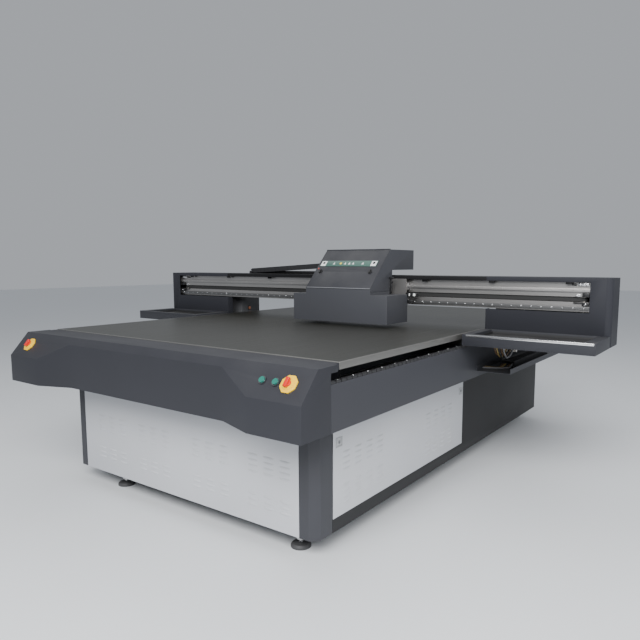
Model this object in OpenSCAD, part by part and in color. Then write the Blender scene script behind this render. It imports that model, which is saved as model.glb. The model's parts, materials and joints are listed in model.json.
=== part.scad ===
// Flatbed UV printer: a vacuum table on a closed cabinet, a gantry that travels along the table,
// and a print carriage that travels along the gantry and lifts. Millimetres, +Z up, +Y to the rear.
// The origin is on the floor, at the centre of the whole machine's footprint.

/* [Table] */
// Width of the table, across the machine
table_w = 2200; // [1800:10:2700]
// Length of the table, front to rear
table_l = 3280; // [2700:10:4000]
// Height of the table surface above the floor
table_z = 950; // [820:5:1200]
// Thickness of the table at its edge
table_edge = 33; // [26:1:42]
// Thickness of the table's perforated top skin
skin_t = 6; // [4:1:8]
// Width of the aluminium trim round the table
trim_w = 12; // [8:1:20]

/* [Cabinet] */
// How far the cabinet's side stands in from the table edge
cabinet_inset = 145; // [100:5:200]
// Gap between the cabinet and the floor
floor_gap = 95; // [70:5:130]
// Thickness of the folded sheet metal
sheet = 2; // [1:0.5:3]
// Chamfer on the cabinet's front corners
corner_chamfer = 40; // [20:1:60]
// Width of the corner post's front face, chamfer included
corner_w = 97; // [70:1:140]
// Length of the corner post's side face
corner_side = 127; // [90:1:180]
// Length of the light panel in each cabinet side
side_panel_l = 1483; // [900:1:1900]
// Height of the sill below the side panel
side_sill = 66; // [40:1:120]
// Section of the frame's square tube
tube = 80; // [60:5:100]
// Wall of the frame's square tube
tube_wall = 4; // [3:0.5:6]
// Diameter of a levelling pad
pad_d = 100; // [70:5:130]
// Height of a levelling pad
pad_h = 26; // [18:1:36]
// Diameter of a levelling stem
stem_d = 24; // [16:1:30]

/* [Aprons] */
// Gap between the table edge and the apron's outer face
apron_gap = 20; // [12:1:40]
// Depth of the aprons below the table surface
apron_drop = 287; // [240:1:340]
// Depth of the side apron's top edge below the table surface
slot_drop = 81; // [70:1:90]
// How far the consoles stand in front of the cabinet
console_reach = 308; // [260:1:380]
// How far the middle of the front apron stands in front of the cabinet
recess_reach = 229; // [205:1:250]
// How far the sloped face's top bend stands in front of the cabinet
ridge_reach = 197; // [150:1:200]
// Depth of the console's front lip below the table surface
lip_drop = 132; // [100:1:160]
// Width of each console's front face
console_w = 293; // [220:1:360]
// Run of the angled face beside each console
console_run = 218; // [120:1:300]
// How far the rear apron stands behind the cabinet
rear_reach = 90; // [80:1:160]

/* [Controls] */
// Width of the main switches' eight-sided plates, across flats
switch_plate_w = 80; // [64:1:100]
// Diameter of the push buttons' caps
button_d = 28; // [22:1:34]
// Pitch between the two push buttons
button_pitch = 73; // [60:1:100]
// Distance of the main switches from the apron's side
switch_inset = 115; // [90:1:150]
// How far the controls sit to the right of even spacing
controls_shift = 12; // [0:1:20]

/* [Gantry] */
// Overall length of the gantry
gantry_l = 3720; // [3300:10:4400]
// Distance from the cabinet's front to the gantry's front face, at rest
gantry_at = 1511; // [1400:1:1700]
// Depth of the gantry's end housings
housing_d = 232; // [215:1:300]
// Height of the gantry's top above the table surface
gantry_h = 332; // [310:1:380]
// Height of the gap under the beam
beam_gap = 134; // [100:1:150]
// Width of the closed wall at each end of the gantry
end_w = 117; // [80:1:160]
// Wall of the gantry's cover shells
shell = 3; // [2:0.5:4]
// Radius of the housings' upright corners
housing_r = 35; // [15:1:60]
// Travel of the gantry to the rear of its place at rest
gantry_back = 1200; // [800:10:1240]
// How far the side trays reach in front of the gantry
tray_reach = 354; // [320:1:420]
// Thickness of the side trays
tray_t = 65; // [50:1:80]
// Height of the side trays' top above the table surface
tray_rise = 8; // [2:1:20]
// Gap between the side aprons and the parts that pass outside them
pass_gap = 15; // [10:1:30]

/* [Carriage] */
// Overall width of the print carriage
carriage_w = 760; // [640:1:900]
// Width of the carriage's middle section
hood_w = 526; // [420:1:600]
// Depth of the carriage's lower box
carriage_d = 273; // [250:1:300]
// Gap between the carriage and the table surface
carriage_gap = 25; // [15:1:40]
// Height of the lamp covers above the table surface
lamp_h = 209; // [190:1:230]
// Height of the front face's top edge above the table surface
brow_h = 249; // [235:1:270]
// Height of the hood's top above the table surface
hood_h = 508; // [480:1:560]
// Depth of the hood's sloped lid, measured level
slope_d = 250; // [200:1:280]
// Depth of the hood's flat top
hood_top_d = 333; // [300:1:400]
// Offset of the carriage from the gantry's middle, at rest
carriage_at = 226; // [-400:1:400]
// Travel of the print head below its place at rest
lift_down = 10; // [0:1:12]

/* [Drives] */
// Diameter of the long ball screws
screw_d = 32; // [25:1:40]
// Pitch radius of the belt pulleys
pulley_r = 22; // [18:0.5:25]
// Diameter of the lifting screw
lift_screw_d = 16; // [12:1:20]
// Radial clearance of a running fit
running = 0.05; // [0.02:0.01:0.1]
// Gap between parts that pass each other
clear = 0.3; // [0.2:0.1:0.6]

/* [Hidden] */
$fn = 64;

// Table and cabinet
table_front = 20;
table_back = 60;
base_l = table_l - table_front - table_back;
y0 = console_reach - (console_reach + base_l + rear_reach) / 2;
y1 = y0 + base_l;
cabinet_x = table_w / 2 - cabinet_inset;
table_y0 = y0 - table_front;
table_y1 = y1 + table_back;
core_z0 = table_z - table_edge;
core_z1 = table_z - skin_t;

// Aprons and the slots that the gantry's arms pass through
apron_x = table_w / 2 + apron_gap;
apron_z0 = table_z - apron_drop;
apron_top = table_z - 3;
slot_z0 = table_z - slot_drop;
slot_z1 = core_z0;
slot_start = y0 - 110;
slot_end = y1 + 30;
lip_z = table_z - lip_drop;
slope_run = console_reach - ridge_reach;
slope_rise = apron_top - lip_z;
slope_tilt = atan2(slope_rise, slope_run);
control_y = y0 - (console_reach + ridge_reach) / 2;
control_z = (lip_z + apron_top) / 2;
switch_x = apron_x - switch_inset + controls_shift;
switch_left_x = -apron_x + switch_inset + controls_shift;
button_x = switch_x - 68;

// Arms, long rails and frame
arm_gap = 6;
arm_t = 24;
arm_z1 = slot_z1 - arm_gap;
arm_z0 = arm_z1 - arm_t;
rail_x = table_w / 2 - 90;
riser_h = 42;
block_h = 38;
rail_w = 28;
rail_h = 24;
block_w = 60;
block_l = 90;
block_z1 = arm_z0 - riser_h;
block_z0 = block_z1 - block_h;
beam_top_z = block_z0 - 7;
cross_z0 = apron_z0 + sheet + 3;
cross_z1 = (cross_z0 + beam_top_z) / 2;
rail_beam_w = 90;
plenum_z0 = core_z0 - 60;
sill_z0 = floor_gap + sheet;
post_x = cabinet_x - sheet - 11 - tube / 2;
frame_y0 = y0 + 30;
frame_y1 = y1 - 30;
frame_rows = 5;
foot_rows_y = [y0 + 95, (y0 + y1) / 2, y1 - 95];
screw_r = screw_d / 2;
screw_x = rail_x - rail_beam_w / 2 - 55;
screw_z = beam_top_z + 12;
screw_end = 240;
motor_w = 90;

// Gantry
g0 = y0 + gantry_at;
g1 = g0 + housing_d;
gantry_x = gantry_l / 2;
window_x = gantry_x - end_w;
inner_x = apron_x + pass_gap;
top_z = table_z + gantry_h;
beam_z0 = table_z + beam_gap;
lip_h = 24;
window_z1 = top_z - lip_h;
tray_z1 = table_z + tray_rise;
tray_z0 = tray_z1 - tray_t;
tray_y0 = g0 - tray_reach;
leg_w = 165;
leg_y0 = g0 + 166;
leg_y1 = g0 + 389;
foot_y0 = g0 + 60;
foot_y1 = g0 + 400;
profile_y0 = g0 + 30;
profile_y1 = g0 + 95;
beam_y1 = g1 - 7;
beam_end = window_x + 30;
belt_w = 24;
belt_t = 3;
belt_z = (beam_z0 + window_z1) / 2 - 13;
belt_gap = 30;
clip_pitch = 2 * window_x / 7.6;
pulley_x = window_x - 43;
pulley_y = profile_y0 + 32;
rail_t = 15;
x_rail_w = 20;
x_rail_low = beam_z0 + 25;
x_rail_high = window_z1 - 46;

// Carriage
front_y = g0 - 42 - carriage_d;
back_y = front_y + carriage_d;
carriage_x0 = carriage_at - carriage_w / 2;
carriage_x1 = carriage_at + carriage_w / 2;
hood_x0 = carriage_at - 7 - hood_w / 2;
hood_x1 = hood_x0 + hood_w;
head_z0 = table_z + carriage_gap;
lamp_z = table_z + lamp_h;
brow_z = table_z + brow_h;
hood_z = table_z + hood_h;
hood_z0 = lamp_z + 18;
hood_foot = top_z + 38;
slope_y = front_y + slope_d;
hood_y1 = slope_y + hood_top_d;
lid_t = 2;
lid_tilt = atan2(hood_z - brow_z, slope_d);
lid_l = norm([slope_d, hood_z - brow_z]);
hinge_r = 4;
hinge_y = slope_y + 2;
hinge_z = hood_z + 1;
saddle_y0 = g0 - 30;
saddle_y1 = g0 - 14;
saddle_w = 720;
saddle_z0 = beam_z0 + 6;
saddle_z1 = window_z1 + 4;
hood_wall_y = saddle_y0 - 4;
nut_z0 = saddle_z0 + 22 + lift_down;
nut_h = 36;
screw_foot_h = 8;
lift_r = lift_screw_d / 2;
lift_y = g0 - 54;
z_rail_x = 150;
latch_left_x = hood_x0 + 50;
latch_right_x = hood_x1 - 67;
latch_up = 152;

// Energy chains: each has a fixed end, a bend that travels at half speed, and a moving end
y_chain_w = 90;
y_chain_h = 45;
y_chain_r = 60;
y_chain_x = inner_x + 105;
y_chain_z0 = slot_z1 - 215;
y_chain_fixed = gantry_at + 129;
y_chain_bend = gantry_at + 809;
y_chain_moving = gantry_at + 189;
x_chain_w = 40;
x_chain_h = 38;
x_chain_r = 27;
x_chain_y = g0 + 190;
x_chain_z0 = top_z - 50;
x_chain_fixed = carriage_at - 512;
x_chain_bend = carriage_at - 1226;
x_chain_moving = carriage_at - 256;
x_chain_rise = 56;
channel_x0 = -gantry_x + 20;
channel_x1 = x_chain_fixed + 60;
channel_y0 = x_chain_y - x_chain_w / 2 - 8;
channel_y1 = x_chain_y + x_chain_w / 2 + 8;

// A box between two opposite corners
module block(low, high) translate(low) cube(high - low);

module both_sides() {
    children();
    mirror([1, 0, 0]) children();
}

// A cylinder along Y from y = from to y = to
module rod_y(x, z, r, from, to) translate([x, from, z]) rotate([-90, 0, 0])
    cylinder(r = r, h = to - from);

// A cylinder along X from x = from to x = to
module rod_x(y, z, r, from, to) translate([from, y, z]) rotate([0, 90, 0])
    cylinder(r = r, h = to - from);

// A hollow square or rectangular tube, open at both ends along the axis named
module tube_x(low, high, wall) difference() {
    block(low, high);
    block(low + [-1, wall, wall], high + [1, -wall, -wall]);
}

module tube_y(low, high, wall) difference() {
    block(low, high);
    block(low + [wall, -1, wall], high + [-wall, 1, -wall]);
}

module tube_z(low, high, wall) difference() {
    block(low, high);
    block(low + [wall, wall, -1], high + [-wall, -wall, 1]);
}

// An outline in Y and Z, extruded along X from x = from to x = to
module across(from, to) translate([from, 0, 0]) rotate([90, 0, 90]) linear_extrude(to - from)
    children();

// Places a control on the console's sloped face, with Z out of the face
module on_console(x) translate([x, control_y, control_z]) rotate([slope_tilt, 0, 0]) children();

// Places a piece on the carriage's sloped lid, a distance up the slope from its lower edge
module on_lid(x, up) translate([x, front_y, brow_z]) rotate([lid_tilt, 0, 0]) translate([0, up, 0])
    children();

// ---- Frame and feet ----

function row_y(i) = frame_y0 + i * (frame_y1 - tube - frame_y0) / (frame_rows - 1);

module frame_sills() color("dimgray") both_sides()
    tube_y([post_x - tube / 2, frame_y0, sill_z0], [post_x + tube / 2, frame_y1, sill_z0 + tube],
           tube_wall);

module frame_sill_ties() color("dimgray") for (i = [0 : frame_rows - 1])
    tube_x([-post_x + tube / 2, row_y(i), sill_z0],
           [post_x - tube / 2, row_y(i) + tube, sill_z0 + tube], tube_wall);

module frame_posts() color("dimgray") both_sides() for (i = [0 : frame_rows - 1])
    tube_z([post_x - tube / 2, row_y(i), sill_z0 + tube],
           [post_x + tube / 2, row_y(i) + tube, cross_z0], tube_wall);

module frame_head_ties() color("dimgray") for (i = [0 : frame_rows - 1])
    tube_x([-rail_x - rail_beam_w / 2, row_y(i), cross_z0],
           [rail_x + rail_beam_w / 2, row_y(i) + tube, cross_z1], tube_wall);

// Beams under the long rails, and lighter beams under the table
module frame_rail_beams() color("dimgray") both_sides() {
    tube_y([rail_x - rail_beam_w / 2, frame_y0, cross_z1],
           [rail_x + rail_beam_w / 2, frame_y1, beam_top_z], tube_wall);
    for (x = [0.12, 0.35] * table_w)
        tube_y([x - 30, frame_y0, cross_z1], [x + 30, frame_y1, plenum_z0], tube_wall);
}

// The front left foot stands further in than the others
function feet() = [for (y = foot_rows_y, s = [-1, 1])
    [s < 0 && y == foot_rows_y[0] ? -(cabinet_x - 355) : s * (cabinet_x - 165), y]];

module foot_pads() color("dimgray") for (f = feet()) translate([f.x, f.y, 0]) rotate_extrude()
    polygon([[0, 0], [pad_d / 2, 0], [pad_d / 2, pad_h * 0.4], [pad_d / 2 - 8, pad_h * 0.75],
             [stem_d / 2 + 8, pad_h], [0, pad_h]]);

module foot_stems() color("silver") for (f = feet()) translate([f.x, f.y, pad_h]) {
    cylinder(d = stem_d, h = sill_z0 - pad_h);
    translate([0, 0, 12]) cylinder(d = stem_d * 1.7, h = 14, $fn = 6);
    translate([0, 0, sill_z0 - pad_h - 14]) cylinder(d = stem_d * 1.7, h = 14, $fn = 6);
}

// ---- Cabinet ----

module corner_posts() color([0.24, 0.25, 0.27]) both_sides() translate([0, 0, floor_gap])
    linear_extrude(apron_z0 - 3 - floor_gap) polygon([
        [cabinet_x - corner_w, y0 - sheet], [cabinet_x - corner_chamfer, y0 - sheet],
        [cabinet_x, y0 - sheet + corner_chamfer], [cabinet_x, y0 + corner_side],
        [cabinet_x - sheet, y0 + corner_side], [cabinet_x - sheet, y0 - 1.2 + corner_chamfer],
        [cabinet_x - corner_chamfer - 0.8, y0], [cabinet_x - corner_w, y0]]);

module front_panel() color([0.78, 0.78, 0.8])
    block([-cabinet_x + corner_w + 1, y0 - sheet, floor_gap],
          [cabinet_x - corner_w - 1, y0, apron_z0 - 3]);

side_y0 = y0 + corner_side + 2;
panel_y1 = side_y0 + side_panel_l + 4;
panel_z0 = floor_gap + side_sill;
panel_z1 = apron_z0 - 8;

module side_skins() color([0.24, 0.25, 0.27]) both_sides() difference() {
    block([cabinet_x - sheet, side_y0, floor_gap], [cabinet_x, y1, cross_z0 - 1]);
    block([cabinet_x - sheet - 1, side_y0 + 2, panel_z0], [cabinet_x + 1, panel_y1 - 2, panel_z1]);
}

// Light panels that fill the openings in the side skins, standing 1 mm proud
module side_panels() color([0.78, 0.78, 0.8]) both_sides()
    block([cabinet_x - sheet, side_y0 + 3.5, panel_z0 + 1.5],
          [cabinet_x + 1, panel_y1 - 3.5, panel_z1 - 1.5]);

exhaust_x = -520;
exhaust_z = floor_gap + 250;
exhaust_r = 30;

module rear_skin() color([0.24, 0.25, 0.27]) difference() {
    block([-cabinet_x + sheet + 1, y1 - sheet, floor_gap], [cabinet_x - sheet - 1, y1, cross_z0 - 1]);
    rod_y(exhaust_x, exhaust_z, exhaust_r + 1, y1 - 10, y1 + 10);
    for (x = [-1, 1], i = [0 : 7])
        block([x * 0.28 * base_w() - 110, y1 - 10, floor_gap + 320 + i * 18],
              [x * 0.28 * base_w() + 110, y1 + 10, floor_gap + 328 + i * 18]);
}

function base_w() = 2 * cabinet_x;

// ---- Aprons ----

// The front apron's plan outline, drawn in by t
module apron_plan(t, back) polygon([
    [apron_x - t, slot_start - t], [apron_x - t, y0 - console_reach + t],
    [apron_x - console_w, y0 - console_reach + t],
    [apron_x - console_w - console_run, y0 - recess_reach + t],
    [-apron_x + console_w + console_run, y0 - recess_reach + t],
    [-apron_x + console_w, y0 - console_reach + t],
    [-apron_x + t, y0 - console_reach + t], [-apron_x + t, slot_start - t],
    [-table_w / 2 + 2 + t, slot_start - t], [-table_w / 2 + 2 + t, back],
    [table_w / 2 - 2 - t, back], [table_w / 2 - 2 - t, slot_start - t]]);

// The front apron's side outline, drawn in by t: upright lip, slope and flat top
module apron_profile(t, back) {
    drop = t / cos(slope_tilt);
    polygon([
        [back, apron_z0 + t], [y0 - console_reach, apron_z0 + t], [y0 - console_reach, lip_z - drop],
        [y0 - ridge_reach + (drop - t) / tan(slope_tilt), apron_top - t], [back, apron_top - t]]);
}

module apron_solid(t, back) intersection() {
    translate([0, 0, apron_z0 - 1]) linear_extrude(apron_drop + 2) apron_plan(t, back);
    across(-apron_x, apron_x) apron_profile(t, back);
}

// The apron shell with its control holes, a corner lip over each slot's front end, and the flange
// that bolts it to the frame
module front_apron() color([0.3, 0.31, 0.34]) {
    difference() {
        apron_solid(0, table_y0 - 2);
        apron_solid(sheet, table_y0 + 10);
        for (x = [switch_left_x, switch_x, button_x, button_x - button_pitch])
            on_console(x) translate([0, 0, -20]) cylinder(r = 11.5, h = 40);
        both_sides() block([cabinet_x, slot_start, apron_z0 - 1], [apron_x + 1, y0, slot_z0]);
    }
    both_sides() difference() {
        block([apron_x - 22, slot_start - 1, slot_z1], [apron_x, y0 - 60, apron_top]);
        block([apron_x - 22 + sheet, slot_start - 2, slot_z1 - 1],
              [apron_x - sheet, y0 - 60 - sheet, apron_top - sheet]);
    }
    block([-post_x, table_y0 - 3, apron_z0], [post_x, frame_y0, apron_z0 + sheet]);
    block([-post_x, frame_y0 - sheet, apron_z0], [post_x, frame_y0, cross_z0 + 30]);
}

// A folded side apron: top flange, upright face and bottom flange
module side_aprons() color([0.3, 0.31, 0.34]) both_sides() translate([0, slot_start + 0.5, 0])
    rotate([90, 0, 180]) mirror([1, 0, 0]) linear_extrude(slot_end - slot_start - 1) polygon([
        [cabinet_x, apron_z0], [apron_x, apron_z0], [apron_x, slot_z0], [apron_x - 25, slot_z0],
        [apron_x - 25, slot_z0 - sheet], [apron_x - sheet, slot_z0 - sheet],
        [apron_x - sheet, apron_z0 + sheet], [cabinet_x, apron_z0 + sheet]]);

module rear_apron() color([0.3, 0.31, 0.34]) {
    difference() {
        block([-apron_x, slot_end, apron_z0], [apron_x, y1 + rear_reach, core_z0 - 1]);
        block([-apron_x + sheet, slot_end - 1, apron_z0 + sheet],
              [apron_x - sheet, y1 + rear_reach - sheet, core_z0 + 1]);
    }
    block([-post_x, y1, apron_z0], [post_x, slot_end + 1, apron_z0 + sheet]);
}

// ---- Table ----

module table_skin() color([0.3, 0.3, 0.3])
    block([-table_w / 2 + trim_w, table_y0 + trim_w, core_z1],
          [table_w / 2 - trim_w, table_y1 - trim_w, table_z]);

// An egg-crate core, with its pockets open above and below
module table_core() color("silver") {
    w = table_w - 2 * trim_w;
    l = table_l - 2 * trim_w;
    cells_x = 8;
    cells_y = 12;
    rib = 8;
    px = (w - rib) / cells_x;
    py = (l - rib) / cells_y;
    translate([-w / 2, table_y0 + trim_w, core_z0]) linear_extrude(core_z1 - core_z0) difference() {
        square([w, l]);
        for (i = [0 : cells_x - 1], j = [0 : cells_y - 1])
            translate([rib + i * px, rib + j * py]) square([px - rib, py - rib]);
    }
}

module table_trim() color("lightgray") {
    both_sides() block([table_w / 2 - trim_w, table_y0, core_z0], [table_w / 2, table_y1, table_z]);
    for (y = [table_y0, table_y1 - trim_w])
        block([-table_w / 2 + trim_w, y, core_z0], [table_w / 2 - trim_w, y + trim_w, table_z]);
}

// ---- Vacuum and electrics ----

plenum_x = screw_x - screw_r - 34;
zones = 4;
manifold_z = cross_z0 - 90;
duct_r = 30;
duct_x = 0;

// Open-topped boxes under the table, one for each vacuum zone, and the pipes that empty them
module vacuum_ducts() color("lightgray") {
    zone_l = (frame_y1 - frame_y0) / zones;
    for (i = [0 : zones - 1]) {
        a = frame_y0 + i * zone_l + 3;
        difference() {
            block([-plenum_x, a, plenum_z0], [plenum_x, a + zone_l - 6, core_z0]);
            block([-plenum_x + sheet, a + sheet, plenum_z0 + sheet],
                  [plenum_x - sheet, a + zone_l - 6 - sheet, core_z0 + 1]);
            translate([duct_x, a + 140, plenum_z0 - 5]) cylinder(r = duct_r - 4, h = 20);
        }
        translate([duct_x, a + 140, manifold_z + 20]) difference() {
            cylinder(r = duct_r, h = plenum_z0 - manifold_z - 20);
            translate([0, 0, -1]) cylinder(r = duct_r - 4, h = plenum_z0 - manifold_z);
        }
    }
    difference() {
        rod_y(duct_x, manifold_z - 25, 50, frame_y0 + 90, frame_y1 - 90);
        rod_y(duct_x, manifold_z - 25, 45, frame_y0 + 98, frame_y1 - 98);
        for (i = [0 : zones - 1])
            translate([duct_x, frame_y0 + i * zone_l + 143, manifold_z - 25])
                cylinder(r = duct_r + 0.2, h = 60);
    }
    difference() {
        rod_y(exhaust_x, exhaust_z, exhaust_r, y1 - 420, y1 + 40);
        rod_y(exhaust_x, exhaust_z, exhaust_r - 3, y1 - 421, y1 + 41);
    }
}

// A side-channel blower: finned ring, motor and foot, on a plate across the frame's last bay
module vacuum_blower() color("slategray") {
    y = y1 - 560;
    x = exhaust_x + 60;
    rod_y(x, exhaust_z, 150, y, y + 140);
    rod_y(x, exhaust_z, 95, y - 220, y);
    block([x - 130, y - 160, sill_z0 + tube + 6], [x + 130, y + 120, exhaust_z - 90]);
    block([x - 170, row_y(frame_rows - 2), sill_z0 + tube],
          [x + 170, row_y(frame_rows - 1) + tube, sill_z0 + tube + 6]);
}

// The switch cabinet stands on two bearers across the frame's first bay, open to the rear
module electrics_box() color("gainsboro") {
    low = [120, row_y(0) + tube + 60, sill_z0 + tube + 20];
    high = [post_x - tube - 40, low.y + 300, cross_z0 - 170];
    difference() {
        block(low, high);
        block([low.x + 3, low.y + 3, low.z + 3], [high.x - 3, high.y + 1, high.z - 3]);
    }
    for (x = [low.x + 40, high.x - 80])
        block([x, row_y(0), sill_z0 + tube], [x + 40, row_y(1) + tube, low.z]);
}

// ---- Long axis ----

module y_rails() color("silver") both_sides()
    block([rail_x - rail_w / 2, frame_y0 + 10, beam_top_z],
          [rail_x + rail_w / 2, frame_y1 - 10, beam_top_z + rail_h]);

// Bearing blocks at both ends of each ball screw
module y_screw_blocks() color("darkgray") both_sides() difference() {
    union() {
        block([screw_x - 40, frame_y0 + 10, cross_z1], [screw_x + 40, frame_y0 + 50, screw_z + 36]);
        block([screw_x - 40, frame_y1 - screw_end + 30, cross_z1],
              [screw_x + 40, frame_y1 - screw_end + 90, screw_z + 36]);
        block([screw_x - 40, frame_y1 - screw_end + 90, cross_z1],
              [screw_x + 40, frame_y1 - 10, cross_z1 + 6]);
    }
    rod_y(screw_x, screw_z, screw_r * 0.7 + running, y0, y1);
}

module y_motors() color("darkslategray") both_sides() difference() {
    block([screw_x - motor_w / 2, frame_y1 - screw_end + 90, screw_z - motor_w / 2],
          [screw_x + motor_w / 2 - 4, frame_y1 - 20, screw_z + motor_w / 2]);
    rod_y(screw_x, screw_z, screw_r * 0.4 + running, y0, frame_y1 - 120);
}

// A ball screw: full-diameter middle, a smaller journal at each end and a motor stub
module y_screw_right() color("silver") {
    rod_y(screw_x, screw_z, screw_r, frame_y0 + 50 + clear, frame_y1 - screw_end + 30 - clear);
    rod_y(screw_x, screw_z, screw_r * 0.7, frame_y0 + 5, frame_y1 - screw_end + 80);
    rod_y(screw_x, screw_z, screw_r * 0.4, frame_y0, frame_y1 - 125);
}
module y_screw_left() mirror([1, 0, 0]) y_screw_right();

module y_chain_tray() color([0.24, 0.25, 0.27]) {
    a = y0 + gantry_at - 83;
    b = y0 + y_chain_bend + gantry_back / 2 + 110;
    difference() {
        block([apron_x, a, y_chain_z0 - sheet], [y_chain_x + y_chain_w / 2 + 50, b, y_chain_z0 + 30]);
        block([apron_x + sheet, a - 1, y_chain_z0],
              [y_chain_x + y_chain_w / 2 + 50 - sheet, b + 1, y_chain_z0 + 31]);
    }
}

// The run of links as one closed outline: lower run, bend and upper run, seen from the side
module y_chain() color([0.12, 0.12, 0.12]) {
    a = y0 + y_chain_fixed;
    b = y0 + y_chain_bend;
    c = y0 + y_chain_moving;
    axis_z = y_chain_z0 + y_chain_h / 2 + y_chain_r;
    translate([y_chain_x - y_chain_w / 2, 0, 0]) {
        block([0, a, y_chain_z0], [y_chain_w, b, y_chain_z0 + y_chain_h]);
        block([0, c, axis_z + y_chain_r - y_chain_h / 2],
              [y_chain_w, b, axis_z + y_chain_r + y_chain_h / 2]);
        intersection() {
            difference() {
                rod_x(b, axis_z, y_chain_r + y_chain_h / 2, 0, y_chain_w);
                rod_x(b, axis_z, y_chain_r - y_chain_h / 2, -1, y_chain_w + 1);
            }
            block([-1, b, axis_z - 200], [y_chain_w + 1, b + 200, axis_z + 200]);
        }
    }
}

// ---- Controls ----

plate_t = 6;

module switch_plates() color("gold") for (x = [switch_left_x, switch_x]) on_console(x) difference() {
    union() {
        linear_extrude(plate_t) rotate(22.5) circle(d = switch_plate_w / cos(22.5), $fn = 8);
        cylinder(r = switch_plate_w * 0.36, h = plate_t + 4);
        translate([0, 0, -32]) cylinder(r = 11, h = 33);
    }
    translate([0, 0, -40]) cylinder(r = 6 + running, h = 80);
}

// A red bar handle on a round boss, with its spindle running down through the plate
module switch_handle() {
    z = plate_t + 4 + 0.5;
    cylinder(r = 6, h = z + 1.4);
    translate([0, 0, -30]) cylinder(r = 6, h = 31);
    translate([0, 0, z]) cylinder(r = switch_plate_w * 0.19, h = 6);
    translate([-switch_plate_w * 0.26, -8, z + 5]) cube([switch_plate_w * 0.52, 16, 13]);
}
module switch_handle_right() color("red") on_console(switch_x) rotate([0, 0, 90]) switch_handle();
module switch_handle_left() color("red") on_console(switch_left_x) rotate([0, 0, 90]) switch_handle();

module button_bezels() color("silver") for (i = [0, 1]) on_console(button_x - i * button_pitch)
    difference() {
    union() {
        cylinder(r = button_d / 2 + 5, h = 8);
        translate([0, 0, -30]) cylinder(r = 11, h = 31);
    }
    cylinder(r = button_d / 2 + clear, h = 9);
    translate([0, 0, -31]) cylinder(r = 5 + running, h = 40);
}

module push_button() {
    translate([0, 0, 3.5]) cylinder(d = button_d, h = 9);
    translate([0, 0, -25]) cylinder(r = 5, h = 29);
}
module start_button() color("seagreen") on_console(button_x) push_button();
module reset_button() color("seagreen") on_console(button_x - button_pitch) push_button();

// ---- Gantry ----

// Two face profiles with a channel for the belt between them, on a box beam
module beam() color("silver") {
    tube_x([-beam_end, profile_y1, beam_z0 + 3], [beam_end, beam_y1, x_chain_z0 - sheet], 8);
    difference() {
        tube_x([-beam_end, profile_y0, beam_z0 + 3], [beam_end, profile_y1, belt_z - belt_gap / 2], 5);
        translate([pulley_x, pulley_y, beam_z0 - 10]) cylinder(r = 9, h = 200);
        translate([-pulley_x, pulley_y, beam_z0 + 10]) cylinder(r = 7 + running, h = 200);
    }
    tube_x([-beam_end, profile_y0, belt_z + belt_gap / 2], [beam_end, profile_y1, window_z1 - 2], 5);
}

module x_rails() color("gainsboro") for (z = [x_rail_low, x_rail_high])
    block([-beam_end + 5, profile_y0 - rail_t, z - x_rail_w / 2],
          [beam_end - 5, profile_y0, z + x_rail_w / 2]);

// A long loop with round ends, r from its centreline ends
module loop_outline(r) {
    for (x = [-pulley_x, pulley_x]) translate([x, pulley_y]) circle(r);
    translate([-pulley_x, pulley_y - r]) square([2 * pulley_x, 2 * r]);
}

module x_belt() color([0.1, 0.1, 0.1]) translate([0, 0, belt_z - belt_w / 2]) linear_extrude(belt_w)
    difference() {
    loop_outline(pulley_r + belt_t / 2);
    loop_outline(pulley_r - belt_t / 2);
}

// A flanged pulley with its spindle running down to z = low
module pulley(x, low) color("silver") translate([x, pulley_y, 0]) {
    translate([0, 0, belt_z - belt_gap / 2 + 0.8])
        cylinder(r = pulley_r - belt_t / 2 - clear, h = belt_gap - 1.6);
    for (z = [belt_z - belt_gap / 2 + 0.8, belt_z + belt_w / 2 + 0.2]) translate([0, 0, z])
        cylinder(r = pulley_r + 3, h = 1);
    translate([0, 0, low]) cylinder(r = 7, h = belt_z - low);
}

motor_top = beam_z0 - 4;

module x_drive_pulley() pulley(pulley_x, motor_top - 30);
module x_idler_pulley() pulley(-pulley_x, beam_z0 + 14);

module x_motor() color("darkslategray") difference() {
    block([pulley_x - 43, pulley_y - 43, motor_top - 120], [pulley_x + 43, pulley_y + 43, motor_top]);
    translate([pulley_x, pulley_y, motor_top - 40]) cylinder(r = 7 + running, h = 50);
}

// Folded cover over the beam, the clips under its front lip, and the sunk channel for the carriage's chain
module beam_cover() color([0.16, 0.17, 0.18]) {
    half = inner_x - 1;
    difference() {
        across(-half, half) polygon([
            [g0, window_z1], [g0 + shell, window_z1], [g0 + shell, top_z - shell],
            [g1 - shell, top_z - shell],
            [g1 - shell, beam_z0 + 3], [g1, beam_z0 + 3], [g1, top_z], [g0, top_z]]);
        block([-half - 1, channel_y0, top_z - shell - 1], [channel_x1, channel_y1, top_z + 1]);
    }
    for (i = [-3.5 : 1 : 3.5]) translate([20 + i * clip_pitch, g0 + shell, window_z1 - 14])
        translate([-18, 0, 0]) cube([36, 6, 24]);
    difference() {
        block([channel_x0, channel_y0, x_chain_z0 - sheet], [channel_x1, channel_y1, top_z]);
        block([channel_x0 + sheet, channel_y0 + sheet, x_chain_z0],
              [channel_x1 - sheet, channel_y1 - sheet, top_z + 1]);
    }
}

// Plan outline of an end housing, drawn in by t, with its outer corners rounded
module housing_plan(t) {
    r = housing_r;
    translate([inner_x + t, g0 + t]) square([gantry_x - r - inner_x - t, housing_d - 2 * t]);
    translate([inner_x + t, g0 + r]) square([gantry_x - inner_x - 2 * t, housing_d - 2 * r]);
    for (y = [g0 + r, g1 - r]) translate([gantry_x - r, y]) circle(r - t);
}

module end_housings() color([0.3, 0.31, 0.34]) difference() {
    both_sides() end_housing();
    block([channel_x0, channel_y0, x_chain_z0 - sheet], [-inner_x + 1, channel_y1, top_z + 1]);
}

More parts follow.
